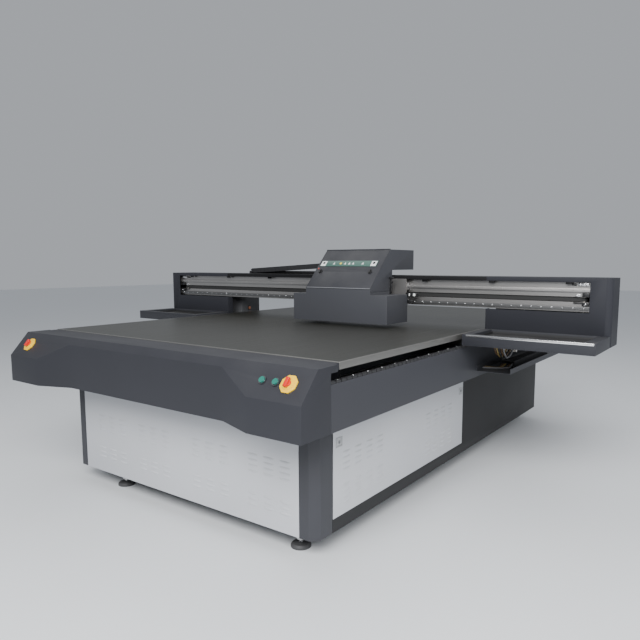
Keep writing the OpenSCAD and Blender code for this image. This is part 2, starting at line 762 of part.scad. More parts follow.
module end_housing() difference() {
    translate([0, 0, tray_z0]) linear_extrude(top_z - tray_z0) housing_plan(0);
    translate([0, 0, tray_z0 + shell]) linear_extrude(top_z - tray_z0 - 2 * shell) housing_plan(shell);
    block([inner_x - 1, g0 - 1, beam_z0], [window_x, g0 + shell + 1, window_z1]);
    block([inner_x - 1, g0 + shell, beam_z0], [inner_x + shell + 1, g1 - shell, top_z - shell]);
    block([inner_x - 1, foot_y0 - 3, tray_z0 - 1], [inner_x + leg_w + 6, g1 + 1, window_z1 + 8]);
}

rim = 50;
pocket = 28;

// Folded trays in front of the housings: each has a sunk pocket on top and is open below
module side_trays() color([0.3, 0.31, 0.34]) both_sides() difference() {
    block([inner_x, tray_y0, tray_z0], [gantry_x, g0, tray_z1]);
    block([inner_x + shell, tray_y0 + shell, tray_z0 - 1],
          [gantry_x - shell, g0 - shell, tray_z1 - pocket - shell]);
    block([inner_x + rim, tray_y0 + 32, tray_z1 - pocket], [gantry_x - rim - 10, g0 - 16, tray_z1 + 1]);
}

module drip_pans() color("gainsboro") both_sides() difference() {
    block([inner_x + rim + 8, tray_y0 + 40, tray_z1 - pocket],
          [gantry_x - rim - 18, g0 - 24, tray_z1 - 10]);
    block([inner_x + rim + 10, tray_y0 + 42, tray_z1 - pocket + 2],
          [gantry_x - rim - 20, g0 - 26, tray_z1]);
}

// The foot of the gantry: an arm through the slot, a riser on the rail blocks and the nut bracket
module gantry_feet() color("gray") both_sides() difference() {
    union() {
        block([rail_x - 50, foot_y0, arm_z0], [inner_x + leg_w, foot_y1, arm_z1]);
        block([rail_x - 50, foot_y0, block_z1], [rail_x + 50, foot_y1, arm_z0]);
        block([screw_x - 32, foot_y0, screw_z - 34], [rail_x - 50, foot_y0 + 80, arm_z0]);
        block([y_chain_x - 40, y0 + y_chain_moving - 20, y_chain_z0 + 100],
              [y_chain_x + 40, y0 + y_chain_moving, arm_z0]);
    }
    rod_y(screw_x, screw_z, screw_r + running, foot_y0 - 1, foot_y0 + 81);
}

// An L-shaped leg: a box under the beam and a back wall behind it
module gantry_legs() color([0.24, 0.25, 0.27]) both_sides() across(inner_x + shell, inner_x + leg_w)
    polygon([[leg_y0, arm_z1], [leg_y1, arm_z1], [leg_y1, window_z1], [beam_y1, window_z1],
             [beam_y1, beam_z0 + 3], [leg_y0, beam_z0 + 3]]);

module y_blocks() color("darkgray") both_sides() for (y = [foot_y0, foot_y1 - block_l]) difference() {
    block([rail_x - block_w / 2, y, block_z0], [rail_x + block_w / 2, y + block_l, block_z1]);
    block([rail_x - rail_w / 2 - clear, y - 1, block_z0 - 1],
          [rail_x + rail_w / 2 + clear, y + block_l + 1, beam_top_z + rail_h + clear]);
}

tanks = 6;
tank_pitch = (gantry_x - inner_x - leg_w - 80) / tanks;
tank_w = tank_pitch - 14;

module ink_tanks() color("whitesmoke") for (i = [0 : tanks - 1]) {
    x = -(inner_x + leg_w + 30 + i * tank_pitch);
    block([x - tank_w, g0 + 26, tray_z0 + shell], [x, g0 + 186, tray_z0 + shell + 140]);
    translate([x - tank_w / 2, g0 + 106, tray_z0 + shell + 140]) cylinder(r = tank_w * 3 / 11, h = 14);
}

// Lower run in the channel, bend, and upper run rising to the carriage
module x_chain() color([0.1, 0.1, 0.1]) {
    axis_z = x_chain_z0 + x_chain_h / 2 + x_chain_r;
    up = axis_z + x_chain_r - x_chain_h / 2;
    translate([0, x_chain_y - x_chain_w / 2, 0]) {
        block([x_chain_bend, 0, x_chain_z0], [x_chain_fixed, x_chain_w, x_chain_z0 + x_chain_h]);
        translate([0, x_chain_w, 0]) rotate([90, 0, 0]) linear_extrude(x_chain_w) polygon([
            [x_chain_bend, up], [x_chain_moving, up + x_chain_rise],
            [x_chain_moving, up + x_chain_rise + x_chain_h], [x_chain_bend, up + x_chain_h]]);
        intersection() {
            difference() {
                rod_y(x_chain_bend, axis_z, x_chain_r + x_chain_h / 2, 0, x_chain_w);
                rod_y(x_chain_bend, axis_z, x_chain_r - x_chain_h / 2, -1, x_chain_w + 1);
            }
            block([x_chain_bend - 100, -1, axis_z - 100], [x_chain_bend, x_chain_w + 1, axis_z + 100]);
        }
    }
}

// ---- Carriage ----

// Plate on the rail blocks, with the belt clamp, lifting rails, lifting motor and chain bracket
module saddle() color("gray") {
    x = carriage_at;
    difference() {
        union() {
            block([x - saddle_w / 2, saddle_y0, saddle_z0], [x + saddle_w / 2, saddle_y1, saddle_z1]);
            block([x + 230, saddle_y1, belt_z - belt_w / 2],
                  [x + 290, pulley_y - pulley_r - belt_t / 2 - clear, belt_z + belt_w / 2]);
            for (s = [-1, 1]) block([x + s * z_rail_x - 10, saddle_y0 - 12, saddle_z0],
                                    [x + s * z_rail_x + 10, saddle_y0, saddle_z1]);
            block([x - 40, saddle_y0, saddle_z1], [x + 40, saddle_y1, saddle_z1 + 14]);
            block([x - 35, lift_y - 31, saddle_z1 + 6], [x + 35, saddle_y0, saddle_z1 + 14]);
            block([x - 22, lift_y - 16, saddle_z0], [x + 22, saddle_y0, saddle_z0 + screw_foot_h]);
            block([x_chain_moving, saddle_y0, saddle_z1], [x_chain_moving + 30, saddle_y1, top_z + 42]);
            block([x_chain_moving, saddle_y0, top_z + 30],
                  [x_chain_moving + 30, x_chain_y + 20, top_z + 42]);
            block([x_chain_moving, x_chain_y - 20, top_z + 42],
                  [x_chain_moving + 30, x_chain_y + 20, top_z + 98]);
        }
        translate([x, lift_y, saddle_z0 - 1]) cylinder(r = lift_r * 0.6 + running, h = 400);
    }
    translate([x, lift_y, saddle_z1 + 14]) difference() {
        translate([-28, -28, 0]) cube([56, 56, 76]);
        translate([0, 0, -1]) cylinder(r = lift_r * 0.6 + running, h = 31);
    }
}

module x_blocks() color("dimgray") for (s = [-1, 1], z = [x_rail_low, x_rail_high]) {
    x = carriage_at + s * (saddle_w / 2 - 45);
    difference() {
        block([x - 40, saddle_y1, z - 23], [x + 40, profile_y0 - 4, z + 23]);
        block([x - 41, profile_y0 - rail_t - clear, z - x_rail_w / 2 - clear],
              [x + 41, profile_y0, z + x_rail_w / 2 + clear]);
    }
}

module z_screw() color("silver") translate([carriage_at, lift_y, 0]) {
    translate([0, 0, saddle_z0 + screw_foot_h + clear])
        cylinder(r = lift_r, h = saddle_z1 + 6 - saddle_z0 - screw_foot_h - 2 * clear);
    translate([0, 0, saddle_z0]) cylinder(r = lift_r * 0.6, h = saddle_z1 + 40 - saddle_z0);
}

head_rows = 2;
head_cols = 4;
head_pitch_x = 78;
head_pitch_y = 104;
function head_at(i, j) = [hood_x0 + hood_w / 2 + (i - (head_cols - 1) / 2) * head_pitch_x,
                          front_y + 62 + j * head_pitch_y];

// Base plate with a slot for each print head, an upright, and the lifting blocks and nut on its back
module head_frame() color("gray") difference() {
    union() {
        block([hood_x0 + sheet, front_y + sheet, head_z0 + 4],
              [hood_x1 - sheet, back_y - 20, head_z0 + 14]);
        block([carriage_at - 200, lift_y - 20, head_z0 + 14],
              [carriage_at + 200, lift_y - 8, nut_z0 + nut_h + 4]);
        for (s = [-1, 1])
            block([carriage_at + s * z_rail_x - 22, lift_y - 8, nut_z0],
                  [carriage_at + s * z_rail_x + 22, saddle_y0 - 4, nut_z0 + nut_h]);
        block([carriage_at - 25, lift_y - 26, nut_z0], [carriage_at + 25, lift_y + 11, nut_z0 + nut_h]);
    }
    for (i = [0 : head_cols - 1], j = [0 : head_rows - 1])
        translate([head_at(i, j).x - 17, head_at(i, j).y - 41, head_z0]) cube([34, 82, 20]);
    for (s = [-1, 1])
        block([carriage_at + s * z_rail_x - 10 - clear, saddle_y0 - 12 - clear, saddle_z0],
              [carriage_at + s * z_rail_x + 10 + clear, saddle_y0, saddle_z1]);
    translate([carriage_at, lift_y, head_z0]) cylinder(r = lift_r + running, h = 400);
    block([carriage_at - 24, lift_y - 21, head_z0 + 13], [carriage_at + 24, lift_y, nut_z0 - 1]);
}

module print_heads() color([0.2, 0.2, 0.22]) for (i = [0 : head_cols - 1], j = [0 : head_rows - 1])
    translate([head_at(i, j).x, head_at(i, j).y, head_z0 + 2]) {
        translate([-16, -40, 0]) cube([32, 80, 70]);
        translate([-22, -46, 12]) cube([44, 92, 4]);
        translate([-24, -44, 82]) cube([48, 84, 60]);
        translate([0, 0, 69]) cylinder(r = 8, h = 14);
    }

module uv_lamps() color([0.15, 0.15, 0.17]) for (x = [carriage_x0 + 7, hood_x1 + 8]) {
    w = (x < carriage_at ? hood_x0 - carriage_x0 : carriage_x1 - hood_x1) - 15;
    block([x, front_y + 14, head_z0 + 4], [x + w, back_y - 14, lamp_z - 50]);
    block([x + 10, front_y + 34, lamp_z - 50], [x + w - 10, back_y - 34, lamp_z - sheet]);
}

// A cover over one lamp, open below
module lamp_cover(from, to) difference() {
    block([from, front_y, head_z0], [to, back_y, lamp_z]);
    block([from + sheet, front_y + sheet, head_z0 - 1], [to - sheet, back_y - sheet, lamp_z - sheet]);
}

// Two lamp covers and, between them, a front wall with folded sides
module carriage_cover() color([0.3, 0.31, 0.34]) {
    lamp_cover(carriage_x0, hood_x0);
    lamp_cover(hood_x1, carriage_x1);
    difference() {
        block([hood_x0, front_y, head_z0], [hood_x1, back_y, brow_z - lid_t - 0.5]);
        block([hood_x0 + sheet, front_y + sheet, head_z0 - 1],
              [hood_x1 - sheet, back_y + 1, brow_z + 1]);
        block([hood_x0 - 1, front_y + sheet, hood_z0 - 0.5], [hood_x1 + 1, back_y + 1, brow_z + 1]);
    }
}

// Side outline of the hood under its lid, drawn in by t
module hood_profile(t) {
    in_y = (lid_t + 0.5 + t) * sin(lid_tilt);
    in_z = (lid_t + 0.5 + t) * cos(lid_tilt);
    polygon([
        [front_y + sheet + 1 + t, hood_z0],
        [front_y + sheet + 1 + t, brow_z - in_z + (sheet + 1 + t - in_y) * tan(lid_tilt)],
        [slope_y + in_y - (in_z - lid_t - t) / tan(lid_tilt), hood_z - lid_t - t],
        [hood_y1 - t, hood_z - lid_t - t], [hood_y1 - t, hood_foot], [hood_wall_y, hood_foot],
        [hood_wall_y, hood_z0]]);
}

// Folded hood: two side walls, a flat top and a back wall, with a notch where the chain comes in
module hood_shell() color([0.27, 0.28, 0.3]) difference() {
    union() {
        for (x = [hood_x0, hood_x1 - sheet]) across(x, x + sheet) hood_profile(0);
        block([hood_x0, slope_y + 9, hood_z - sheet], [hood_x1, hood_y1, hood_z]);
        block([hood_x0, hood_y1 - sheet, hood_foot], [hood_x1, hood_y1, hood_z]);
        for (i = [1, 3]) rod_x(hinge_y, hinge_z, hinge_r, hood_x0 + i * hood_w / 5 + 0.5,
                               hood_x0 + (i + 1) * hood_w / 5 - 0.5);
        for (i = [1, 3]) block([hood_x0 + i * hood_w / 5 + 0.5, hinge_y, hood_z - sheet],
                               [hood_x0 + (i + 1) * hood_w / 5 - 0.5, slope_y + 10, hood_z]);
    }
    rod_x(hinge_y, hinge_z, 1.5 + running, hood_x0 - 1, hood_x1 + 1);
    for (i = [0, 2, 4])
        rod_x(hinge_y, hinge_z, hinge_r + clear, hood_x0 + i * hood_w / 5 - 0.4,
              hood_x0 + (i + 1) * hood_w / 5 + 0.4);
    block([hood_x0 - 1, x_chain_y - x_chain_w / 2 - 10, hood_foot - 1],
          [hood_x0 + 10, x_chain_y + x_chain_w / 2 + 10, top_z + 102 + lift_down]);
}

// Sloped lid with its knuckles and hinge pin, and the membrane keypad near its top
module hood_lid() color([0.33, 0.34, 0.37]) {
    difference() {
        union() {
            on_lid(hood_x0, 0) translate([0, 0, -lid_t]) cube([hood_w, lid_l - 4, lid_t]);
            for (i = [0, 2, 4]) rod_x(hinge_y, hinge_z, hinge_r, hood_x0 + i * hood_w / 5,
                                      hood_x0 + (i + 1) * hood_w / 5);
            for (i = [0, 2, 4]) on_lid(hood_x0 + i * hood_w / 5, lid_l - 5) translate([0, 0, -lid_t])
                cube([hood_w / 5, 5, lid_t]);
        }
        for (x = [latch_left_x, latch_right_x]) on_lid(x, latch_up)
            translate([0, 0, -10]) cylinder(r = 4 + running, h = 20);
    }
    rod_x(hinge_y, hinge_z, 1.5, hood_x0, hood_x1);
    on_lid(hood_x0 + 16, latch_up + 46) cube([hood_w - 56, 58, 1.5]);
}

module latch(x) color([0.08, 0.08, 0.08]) on_lid(x, latch_up) {
    translate([0, 0, 0.3]) cylinder(r = 15, h = 5);
    translate([-4, -15, 5]) cube([8, 30, 5]);
    translate([0, 0, -8]) cylinder(r = 4, h = 10);
    translate([-5, -16, -10]) cube([10, 32, 3]);
}
module latch_left() latch(latch_left_x);
module latch_right() latch(latch_right_x);

frame_sills();
frame_sill_ties();
frame_posts();
frame_head_ties();
frame_rail_beams();
foot_pads();
foot_stems();
corner_posts();
front_panel();
side_skins();
side_panels();
rear_skin();
front_apron();
side_aprons();
rear_apron();
table_skin();
table_core();
table_trim();
vacuum_ducts();
vacuum_blower();
electrics_box();
y_rails();
y_screw_blocks();
y_motors();
y_chain_tray();
y_chain();
switch_plates();
button_bezels();
y_screw_left();
y_screw_right();
switch_handle_left();
switch_handle_right();
start_button();
reset_button();
beam();
x_rails();
x_belt();
x_motor();
beam_cover();
end_housings();
side_trays();
drip_pans();
gantry_feet();
gantry_legs();
y_blocks();
ink_tanks();
x_chain();
x_drive_pulley();
x_idler_pulley();
saddle();
x_blocks();
z_screw();
head_frame();
print_heads();
uv_lamps();
carriage_cover();
hood_shell();
hood_lid();
latch_left();
latch_right();
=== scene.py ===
import json
import math

import bmesh
import bpy
from mathutils import Euler, Matrix, Vector

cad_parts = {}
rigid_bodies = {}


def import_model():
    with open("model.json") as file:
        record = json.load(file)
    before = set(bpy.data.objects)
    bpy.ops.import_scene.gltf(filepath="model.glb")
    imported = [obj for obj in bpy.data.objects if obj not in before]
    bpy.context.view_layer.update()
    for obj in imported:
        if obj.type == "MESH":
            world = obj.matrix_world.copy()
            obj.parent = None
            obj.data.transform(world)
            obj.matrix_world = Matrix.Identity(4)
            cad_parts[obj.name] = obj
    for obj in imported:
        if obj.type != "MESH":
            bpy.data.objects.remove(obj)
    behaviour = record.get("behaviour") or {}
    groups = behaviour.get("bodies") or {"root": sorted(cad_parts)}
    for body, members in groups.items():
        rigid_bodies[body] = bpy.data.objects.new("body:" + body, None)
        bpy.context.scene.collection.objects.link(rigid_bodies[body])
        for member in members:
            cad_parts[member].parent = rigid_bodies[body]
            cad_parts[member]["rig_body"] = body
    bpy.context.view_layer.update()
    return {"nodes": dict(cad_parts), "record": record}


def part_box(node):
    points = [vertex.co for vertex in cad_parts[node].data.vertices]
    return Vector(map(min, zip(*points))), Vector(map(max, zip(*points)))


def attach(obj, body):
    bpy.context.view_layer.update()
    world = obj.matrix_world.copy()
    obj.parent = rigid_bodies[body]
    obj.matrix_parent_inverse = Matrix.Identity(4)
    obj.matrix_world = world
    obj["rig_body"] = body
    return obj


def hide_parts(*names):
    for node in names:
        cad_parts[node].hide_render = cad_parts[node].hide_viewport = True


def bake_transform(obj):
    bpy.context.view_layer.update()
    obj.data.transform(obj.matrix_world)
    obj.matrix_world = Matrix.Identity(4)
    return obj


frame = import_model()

nodes = frame["nodes"]
slot_of = {row["node"]: row["material_slot"] for row in frame["record"]["subparts"]}

# ---- Places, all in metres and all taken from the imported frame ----

bed_lo, bed_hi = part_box("table_skin")
trim_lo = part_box("table_trim")[0]
front_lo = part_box("front_panel")[0]
panel_lo, panel_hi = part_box("side_panels")
side_apron_lo, side_apron_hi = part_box("side_aprons")
tray_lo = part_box("side_trays")[0]
cover_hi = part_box("beam_cover")[1]
rail_lo, rail_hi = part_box("x_rails")
box_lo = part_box("carriage_cover")[0]
hood_lo, hood_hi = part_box("hood_shell")
saddle_lo, saddle_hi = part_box("saddle")
leg_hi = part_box("gantry_legs")[1]

LEG_WIDTH = 0.162
HOLE_PITCH = 0.05
LOUVRE_COLUMN, LOUVRE_ROW = 0.103, 0.028
STRIP_PITCH = 0.04
RAIL_SCREW_PITCH = 0.06
CABLE_RADIUS = 0.0045
CAMERA_TO_PANEL = 2.0261


# ---- Camera, floor and light ----

def make_camera():
    """A 33 mm view from the machine's front right, a little above the table."""
    data = bpy.data.cameras.new("camera")
    data.sensor_width = 36.0
    data.lens = 33.21
    data.shift_x = -0.022
    data.shift_y = 0.0225
    data.clip_start, data.clip_end = 0.05, 60
    camera = bpy.data.objects.new("camera", data)
    camera.location = (2.5126, front_lo.y - CAMERA_TO_PANEL, 1.3604)
    camera.rotation_euler = Euler((math.radians(90 - 6.80), 0, math.radians(35.683)))
    bpy.context.scene.collection.objects.link(camera)
    bpy.context.scene.camera = camera


def area_light(name, place, target, size, power, tint=(1, 1, 1)):
    data = bpy.data.lights.new(name, "AREA")
    data.shape = "RECTANGLE"
    data.size, data.size_y = size
    data.energy = power
    data.color = tint
    light = bpy.data.objects.new(name, data)
    light.location = place
    light.rotation_euler = (Vector(target) - Vector(place)).to_track_quat("-Z", "Y").to_euler()
    bpy.context.scene.collection.objects.link(light)


def make_studio():
    """A pale floor, a pale sky and three large soft lights."""
    world = bpy.data.worlds.new("studio")
    bpy.context.scene.world = world
    world.use_nodes = True
    background = world.node_tree.nodes["Background"]
    background.inputs["Color"].default_value = (0.86, 0.90, 0.96, 1)
    background.inputs["Strength"].default_value = 0.48
    area_light("key_light", (2.9, -5.3, 4.3), (0.7, -0.8, 0.6), (5, 3), 630)
    area_light("fill_light", (6.0, -1.2, 2.7), (0.6, 0.2, 0.8), (5, 3), 90)
    area_light("top_light", (-1.0, 1.5, 5.8), (0, 0.2, 0.9), (6, 5), 100)
    bm = bmesh.new()
    bmesh.ops.create_grid(bm, x_segments=1, y_segments=1, size=30)
    mesh = bpy.data.meshes.new("floor")
    bm.to_mesh(mesh)
    bm.free()
    floor = bpy.data.objects.new("floor", mesh)
    mesh.materials.append(pale_floor())
    bpy.context.scene.collection.objects.link(floor)


# ---- Shader groups that several finishes use ----

class Nodes:
    """A short way to add and join nodes in one tree."""

    def __init__(self, tree):
        self.tree = tree

    def add(self, kind, values=(), **settings):
        node = self.tree.nodes.new(kind)
        for key, value in settings.items():
            setattr(node, key, value)
        for key, value in dict(values).items():
            if isinstance(value, bpy.types.NodeSocket):
                self.tree.links.new(value, node.inputs[key])
            else:
                node.inputs[key].default_value = value
        return node


def worked(n, operation, *values):
    """The result of one sum on sockets or numbers."""
    return n.add("ShaderNodeMath", dict(enumerate(values)), operation=operation).outputs["Value"]


def ranged(n, value, low, high):
    """A value from 0 to 1 spread between two limits."""
    return n.add("ShaderNodeMapRange", {"Value": value, "To Min": low, "To Max": high}).outputs["Result"]


def shader_group(name, inputs, outputs):
    """A group with named inputs and outputs, and its two end nodes."""
    tree = bpy.data.node_groups.new(name, "ShaderNodeTree")
    for socket, (kind, default) in inputs.items():
        made = tree.interface.new_socket(socket, in_out="INPUT", socket_type=kind)
        made.default_value = default
    for socket, kind in outputs.items():
        tree.interface.new_socket(socket, in_out="OUTPUT", socket_type=kind)
    nodes_in = Nodes(tree)
    return tree, nodes_in, nodes_in.add("NodeGroupInput"), nodes_in.add("NodeGroupOutput")


def make_coat_grain():
    """The orange-peel skin of powder coat, and a slow drift in its tone."""
    tree, n, start, end = shader_group(
        "coat_grain",
        {"Grain Size": ("NodeSocketFloat", 900.0), "Drift Size": ("NodeSocketFloat", 2.2)},
        {"Height": "NodeSocketFloat", "Drift": "NodeSocketFloat", "Speck": "NodeSocketFloat"})
    place = n.add("ShaderNodeTexCoord").outputs["Object"]
    peel = n.add("ShaderNodeTexNoise", {"Vector": place, "Scale": start.outputs["Grain Size"], "Detail": 2.0})
    drift_size = start.outputs["Drift Size"]
    drift = n.add("ShaderNodeTexNoise", {"Vector": place, "Scale": drift_size, "Detail": 3.0})
    speck = n.add("ShaderNodeTexVoronoi", {"Vector": place, "Scale": start.outputs["Grain Size"]})
    tree.links.new(peel.outputs["Fac"], end.inputs["Height"])
    tree.links.new(drift.outputs["Fac"], end.inputs["Drift"])
    tree.links.new(speck.outputs["Distance"], end.inputs["Speck"])
    return tree


def make_brushing():
    """Fine lines along one axis, as drawing or grinding leaves them."""
    tree, n, start, end = shader_group(
        "brushing",
        {"Stretch": ("NodeSocketVector", (2.0, 300.0, 300.0)), "Strength": ("NodeSocketFloat", 1.0)},
        {"Height": "NodeSocketFloat", "Tone": "NodeSocketFloat"})
    place = n.add("ShaderNodeTexCoord").outputs["Object"]
    stretched = n.add("ShaderNodeMapping", {"Vector": place, "Scale": start.outputs["Stretch"]})
    lines = n.add("ShaderNodeTexNoise", {"Vector": stretched.outputs["Vector"], "Scale": 1.0, "Detail": 4.0})
    scaled = worked(n, "MULTIPLY", lines.outputs["Fac"], start.outputs["Strength"])
    cloud = n.add("ShaderNodeTexNoise", {"Vector": place, "Scale": 3.0, "Detail": 2.0})
    tree.links.new(scaled, end.inputs["Height"])
    tree.links.new(cloud.outputs["Fac"], end.inputs["Tone"])
    return tree


def make_settled_dust():
    """A mask that is strongest on upward faces and breaks up like settled dust."""
    tree, n, start, end = shader_group(
        "settled_dust", {"Amount": ("NodeSocketFloat", 0.2)}, {"Mask": "NodeSocketFloat"})
    normal = n.add("ShaderNodeNewGeometry").outputs["Normal"]
    up = n.add("ShaderNodeSeparateXYZ", {0: normal}).outputs["Z"]
    facing = n.add("ShaderNodeMapRange", {"Value": up, "From Min": 0.2, "From Max": 1.0})
    place = n.add("ShaderNodeTexCoord").outputs["Object"]
    patches = n.add("ShaderNodeTexNoise", {"Vector": place, "Scale": 4.0, "Detail": 6.0, "Roughness": 0.6})
    limits = {"From Min": 0.35, "From Max": 0.75}
    broken = n.add("ShaderNodeMapRange", {"Value": patches.outputs["Fac"], **limits})
    both = worked(n, "MULTIPLY", facing.outputs["Result"], broken.outputs["Result"])
    out = worked(n, "MULTIPLY", both, start.outputs["Amount"])
    tree.links.new(out, end.inputs["Mask"])
    return tree


coat_grain = make_coat_grain()
brushing = make_brushing()
settled_dust = make_settled_dust()

# ---- Finishes ----


def new_finish(name, metallic=0.0, coat=0.0, coat_roughness=0.1, ior=1.5):
    material = bpy.data.materials.new(name)
    material.use_nodes = True
    n = Nodes(material.node_tree)
    shader = material.node_tree.nodes["Principled BSDF"]
    shader.inputs["Metallic"].default_value = metallic
    shader.inputs["Coat Weight"].default_value = coat
    shader.inputs["Coat Roughness"].default_value = coat_roughness
    shader.inputs["IOR"].default_value = ior
    return material, n, shader


def grouped(n, tree, **values):
    node = n.add("ShaderNodeGroup", node_tree=tree)
    for key, value in values.items():
        node.inputs[key.replace("_", " ")].default_value = value
    return node


def mixed(n, factor, low, high):
    """A colour between two colours."""
    mix = n.add("ShaderNodeMix", data_type="RGBA")
    n.tree.links.new(factor, mix.inputs["Factor"])
    for index, colour in ((6, low), (7, high)):
        if isinstance(colour, bpy.types.NodeSocket):
            n.tree.links.new(colour, mix.inputs[index])
        else:
            mix.inputs[index].default_value = (*colour, 1)
    return mix.outputs[2]


def coated(name, colour, roughness, grain=900.0, depth=0.00006, dust=0.12, drift=0.12, coat=0.0, speck=0.0,
           gleam=0.5):
    """Powder coat or paint: an even colour with a fine skin, a slow drift and a little dust."""
    material, n, shader = new_finish(name, coat=coat, coat_roughness=0.18)
    shader.inputs["Specular IOR Level"].default_value = gleam
    skin = grouped(n, coat_grain, Grain_Size=grain)
    dirt = grouped(n, settled_dust, Amount=dust)
    low = tuple(c * (1 - drift) for c in colour)
    high = tuple(c * (1 + drift) for c in colour)
    base = mixed(n, skin.outputs["Drift"], low, high)
    if speck:
        base = mixed(n, skin.outputs["Speck"], base, tuple(min(1, c * (1 + speck)) for c in colour))
    base = mixed(n, dirt.outputs["Mask"], base, (0.35, 0.34, 0.32))
    rough = ranged(n, skin.outputs["Drift"], roughness - 0.05, roughness + 0.07)
    bump = n.add("ShaderNodeBump", {"Height": skin.outputs["Height"], "Strength": 0.35, "Distance": depth})
    n.tree.links.new(base, shader.inputs["Base Color"])
    n.tree.links.new(rough, shader.inputs["Roughness"])
    n.tree.links.new(bump.outputs["Normal"], shader.inputs["Normal"])
    return material


def metal(name, colour, roughness, stretch=(2.0, 300.0, 300.0), depth=0.00005, metallic=1.0):
    """Ground, drawn or anodised metal with fine lines along its length."""
    material, n, shader = new_finish(name, metallic=metallic)
    lines = grouped(n, brushing, Stretch=stretch)
    dull, bright = tuple(c * 0.88 for c in colour), tuple(min(1, c * 1.1) for c in colour)
    base = mixed(n, lines.outputs["Tone"], dull, bright)
    rough = ranged(n, lines.outputs["Height"], roughness - 0.08, roughness + 0.1)
    bump = n.add("ShaderNodeBump", {"Height": lines.outputs["Height"], "Strength": 0.3, "Distance": depth})
    n.tree.links.new(base, shader.inputs["Base Color"])
    n.tree.links.new(rough, shader.inputs["Roughness"])
    n.tree.links.new(bump.outputs["Normal"], shader.inputs["Normal"])
    return material


def threaded(name, axis, pitch=0.005):
    """Ground steel with the even grooves of a screw thread across its length, the grooves darker as painted
    shade.
    """
    material, n, shader = new_finish(name, metallic=1.0)
    place = n.add("ShaderNodeTexCoord").outputs["Object"]
    grooves = n.add("ShaderNodeTexWave", {"Vector": place, "Scale": 0.314 / pitch}, bands_direction=axis)
    # The grooves are coloured darker than the crests: painted shade in the grooves.
    base = mixed(n, grooves.outputs["Fac"], (0.20, 0.20, 0.20), (0.62, 0.62, 0.63))
    bump = n.add("ShaderNodeBump", {"Height": grooves.outputs["Fac"], "Strength": 0.8, "Distance": 0.001})
    shader.inputs["Roughness"].default_value = 0.28
    n.tree.links.new(base, shader.inputs["Base Color"])
    n.tree.links.new(bump.outputs["Normal"], shader.inputs["Normal"])
    return material


def moulded(name, colour, roughness, coat=0.0, grain=1400.0, depth=0.00004):
    """Moulded plastic or rubber with a fine texture."""
    return coated(name, colour, roughness, grain=grain, depth=depth, dust=0.04, drift=0.06, coat=coat)


def pale_floor():
    return coated("pale_floor", (0.78, 0.80, 0.82), 0.5, grain=300, depth=0.0001, dust=0.0, drift=0.01)


FINISHES = {
    "powder_coat": coated("dark_powder_coat", (0.030, 0.031, 0.037), 0.50, gleam=0.3),
    "skin_coat": coated("charcoal_powder_coat", (0.042, 0.043, 0.050), 0.52, gleam=0.35),
    "silver_coat": coated("silver_powder_coat", (0.50, 0.51, 0.535), 0.42, grain=500.0, speck=0.10, dust=0.0),
    "frame_paint": coated("frame_primer", (0.05, 0.055, 0.062), 0.55),
    "bed": metal("hard_anodised_bed", (0.031, 0.031, 0.026), 0.42, stretch=(260.0, 2.0, 260.0), metallic=0.3),
    "anodised": metal("satin_anodised", (0.66, 0.63, 0.58), 0.30),
    "ground_steel": metal("ground_steel", (0.50, 0.50, 0.51), 0.28),
    "cast_foot": coated("blackened_iron", (0.05, 0.05, 0.053), 0.55, grain=400.0, depth=0.0002),
    "chain_plastic": moulded("chain_nylon", (0.018, 0.018, 0.02), 0.42),
    "rubber_belt": moulded("belt_rubber", (0.016, 0.016, 0.016), 0.62),
    "motor_paint": coated("motor_enamel", (0.022, 0.024, 0.028), 0.35, coat=0.3),
    "blower_alloy": coated("blower_casting", (0.36, 0.37, 0.39), 0.5, grain=350.0, depth=0.0002),
    "duct_plastic": moulded("duct_grey", (0.42, 0.43, 0.44), 0.45),
    "tank_plastic": moulded("tank_polythene", (0.72, 0.72, 0.69), 0.45),
    "switch_yellow": moulded("switch_yellow", (0.90, 0.55, 0.004), 0.40, coat=0.1),
    "switch_red": moulded("switch_red", (0.62, 0.012, 0.002), 0.36, coat=0.15),
    "button_green": moulded("button_green", (0.008, 0.150, 0.115), 0.25, coat=0.6),
    "bezel_metal": metal("turned_bezel", (0.30, 0.31, 0.32), 0.22, stretch=(300.0, 300.0, 2.0)),
    "knob_plastic": moulded("knob_black", (0.010, 0.010, 0.011), 0.42),
    "head_black": moulded("head_black", (0.03, 0.03, 0.033), 0.40),
    "pan_steel": metal("pan_steel", (0.50, 0.50, 0.51), 0.32),
}
# A darker copy of the charcoal skin coat: painted shade for the side skins under the gantry. The rear skin,
# its louvres and the drip pans take it too.
SHADED_SKIN_COAT = coated("inner_skin_coat", (0.015, 0.015, 0.016), 0.6, gleam=0.4)
BEAM_METAL = metal("beam_aluminium", (0.37, 0.36, 0.35), 0.36, metallic=0.9)
CARRIAGE_COAT = coated("carriage_powder_coat", (0.052, 0.054, 0.062), 0.50, gleam=0.3)
HOUSING_COAT = coated("housing_powder_coat", (0.028, 0.029, 0.035), 0.55, gleam=0.12)
COVER_COAT = coated("cover_black_coat", (0.008, 0.008, 0.009), 0.5, gleam=0.25)
APRON_COAT = coated("apron_powder_coat", (0.029, 0.030, 0.036), 0.50, dust=0.04, gleam=0.2)
SIDE_COAT = coated("side_powder_coat", (0.036, 0.037, 0.044), 0.50, dust=0.04, gleam=0.3)
LEG_COAT = coated("leg_powder_coat", (0.080, 0.082, 0.088), 0.50, gleam=0.4)
# A light grey strip used as a painted highlight along the lid's lower edge.
PAINTED_EDGE_HIGHLIGHT = coated("worn_fold", (0.16, 0.165, 0.18), 0.35)
TRIM_METAL = metal("trim_aluminium", (0.17, 0.168, 0.16), 0.40, stretch=(300.0, 2.0, 300.0), metallic=0.6)
RAIL_DARK = metal("rail_oxide", (0.15, 0.15, 0.15), 0.34, metallic=0.8)
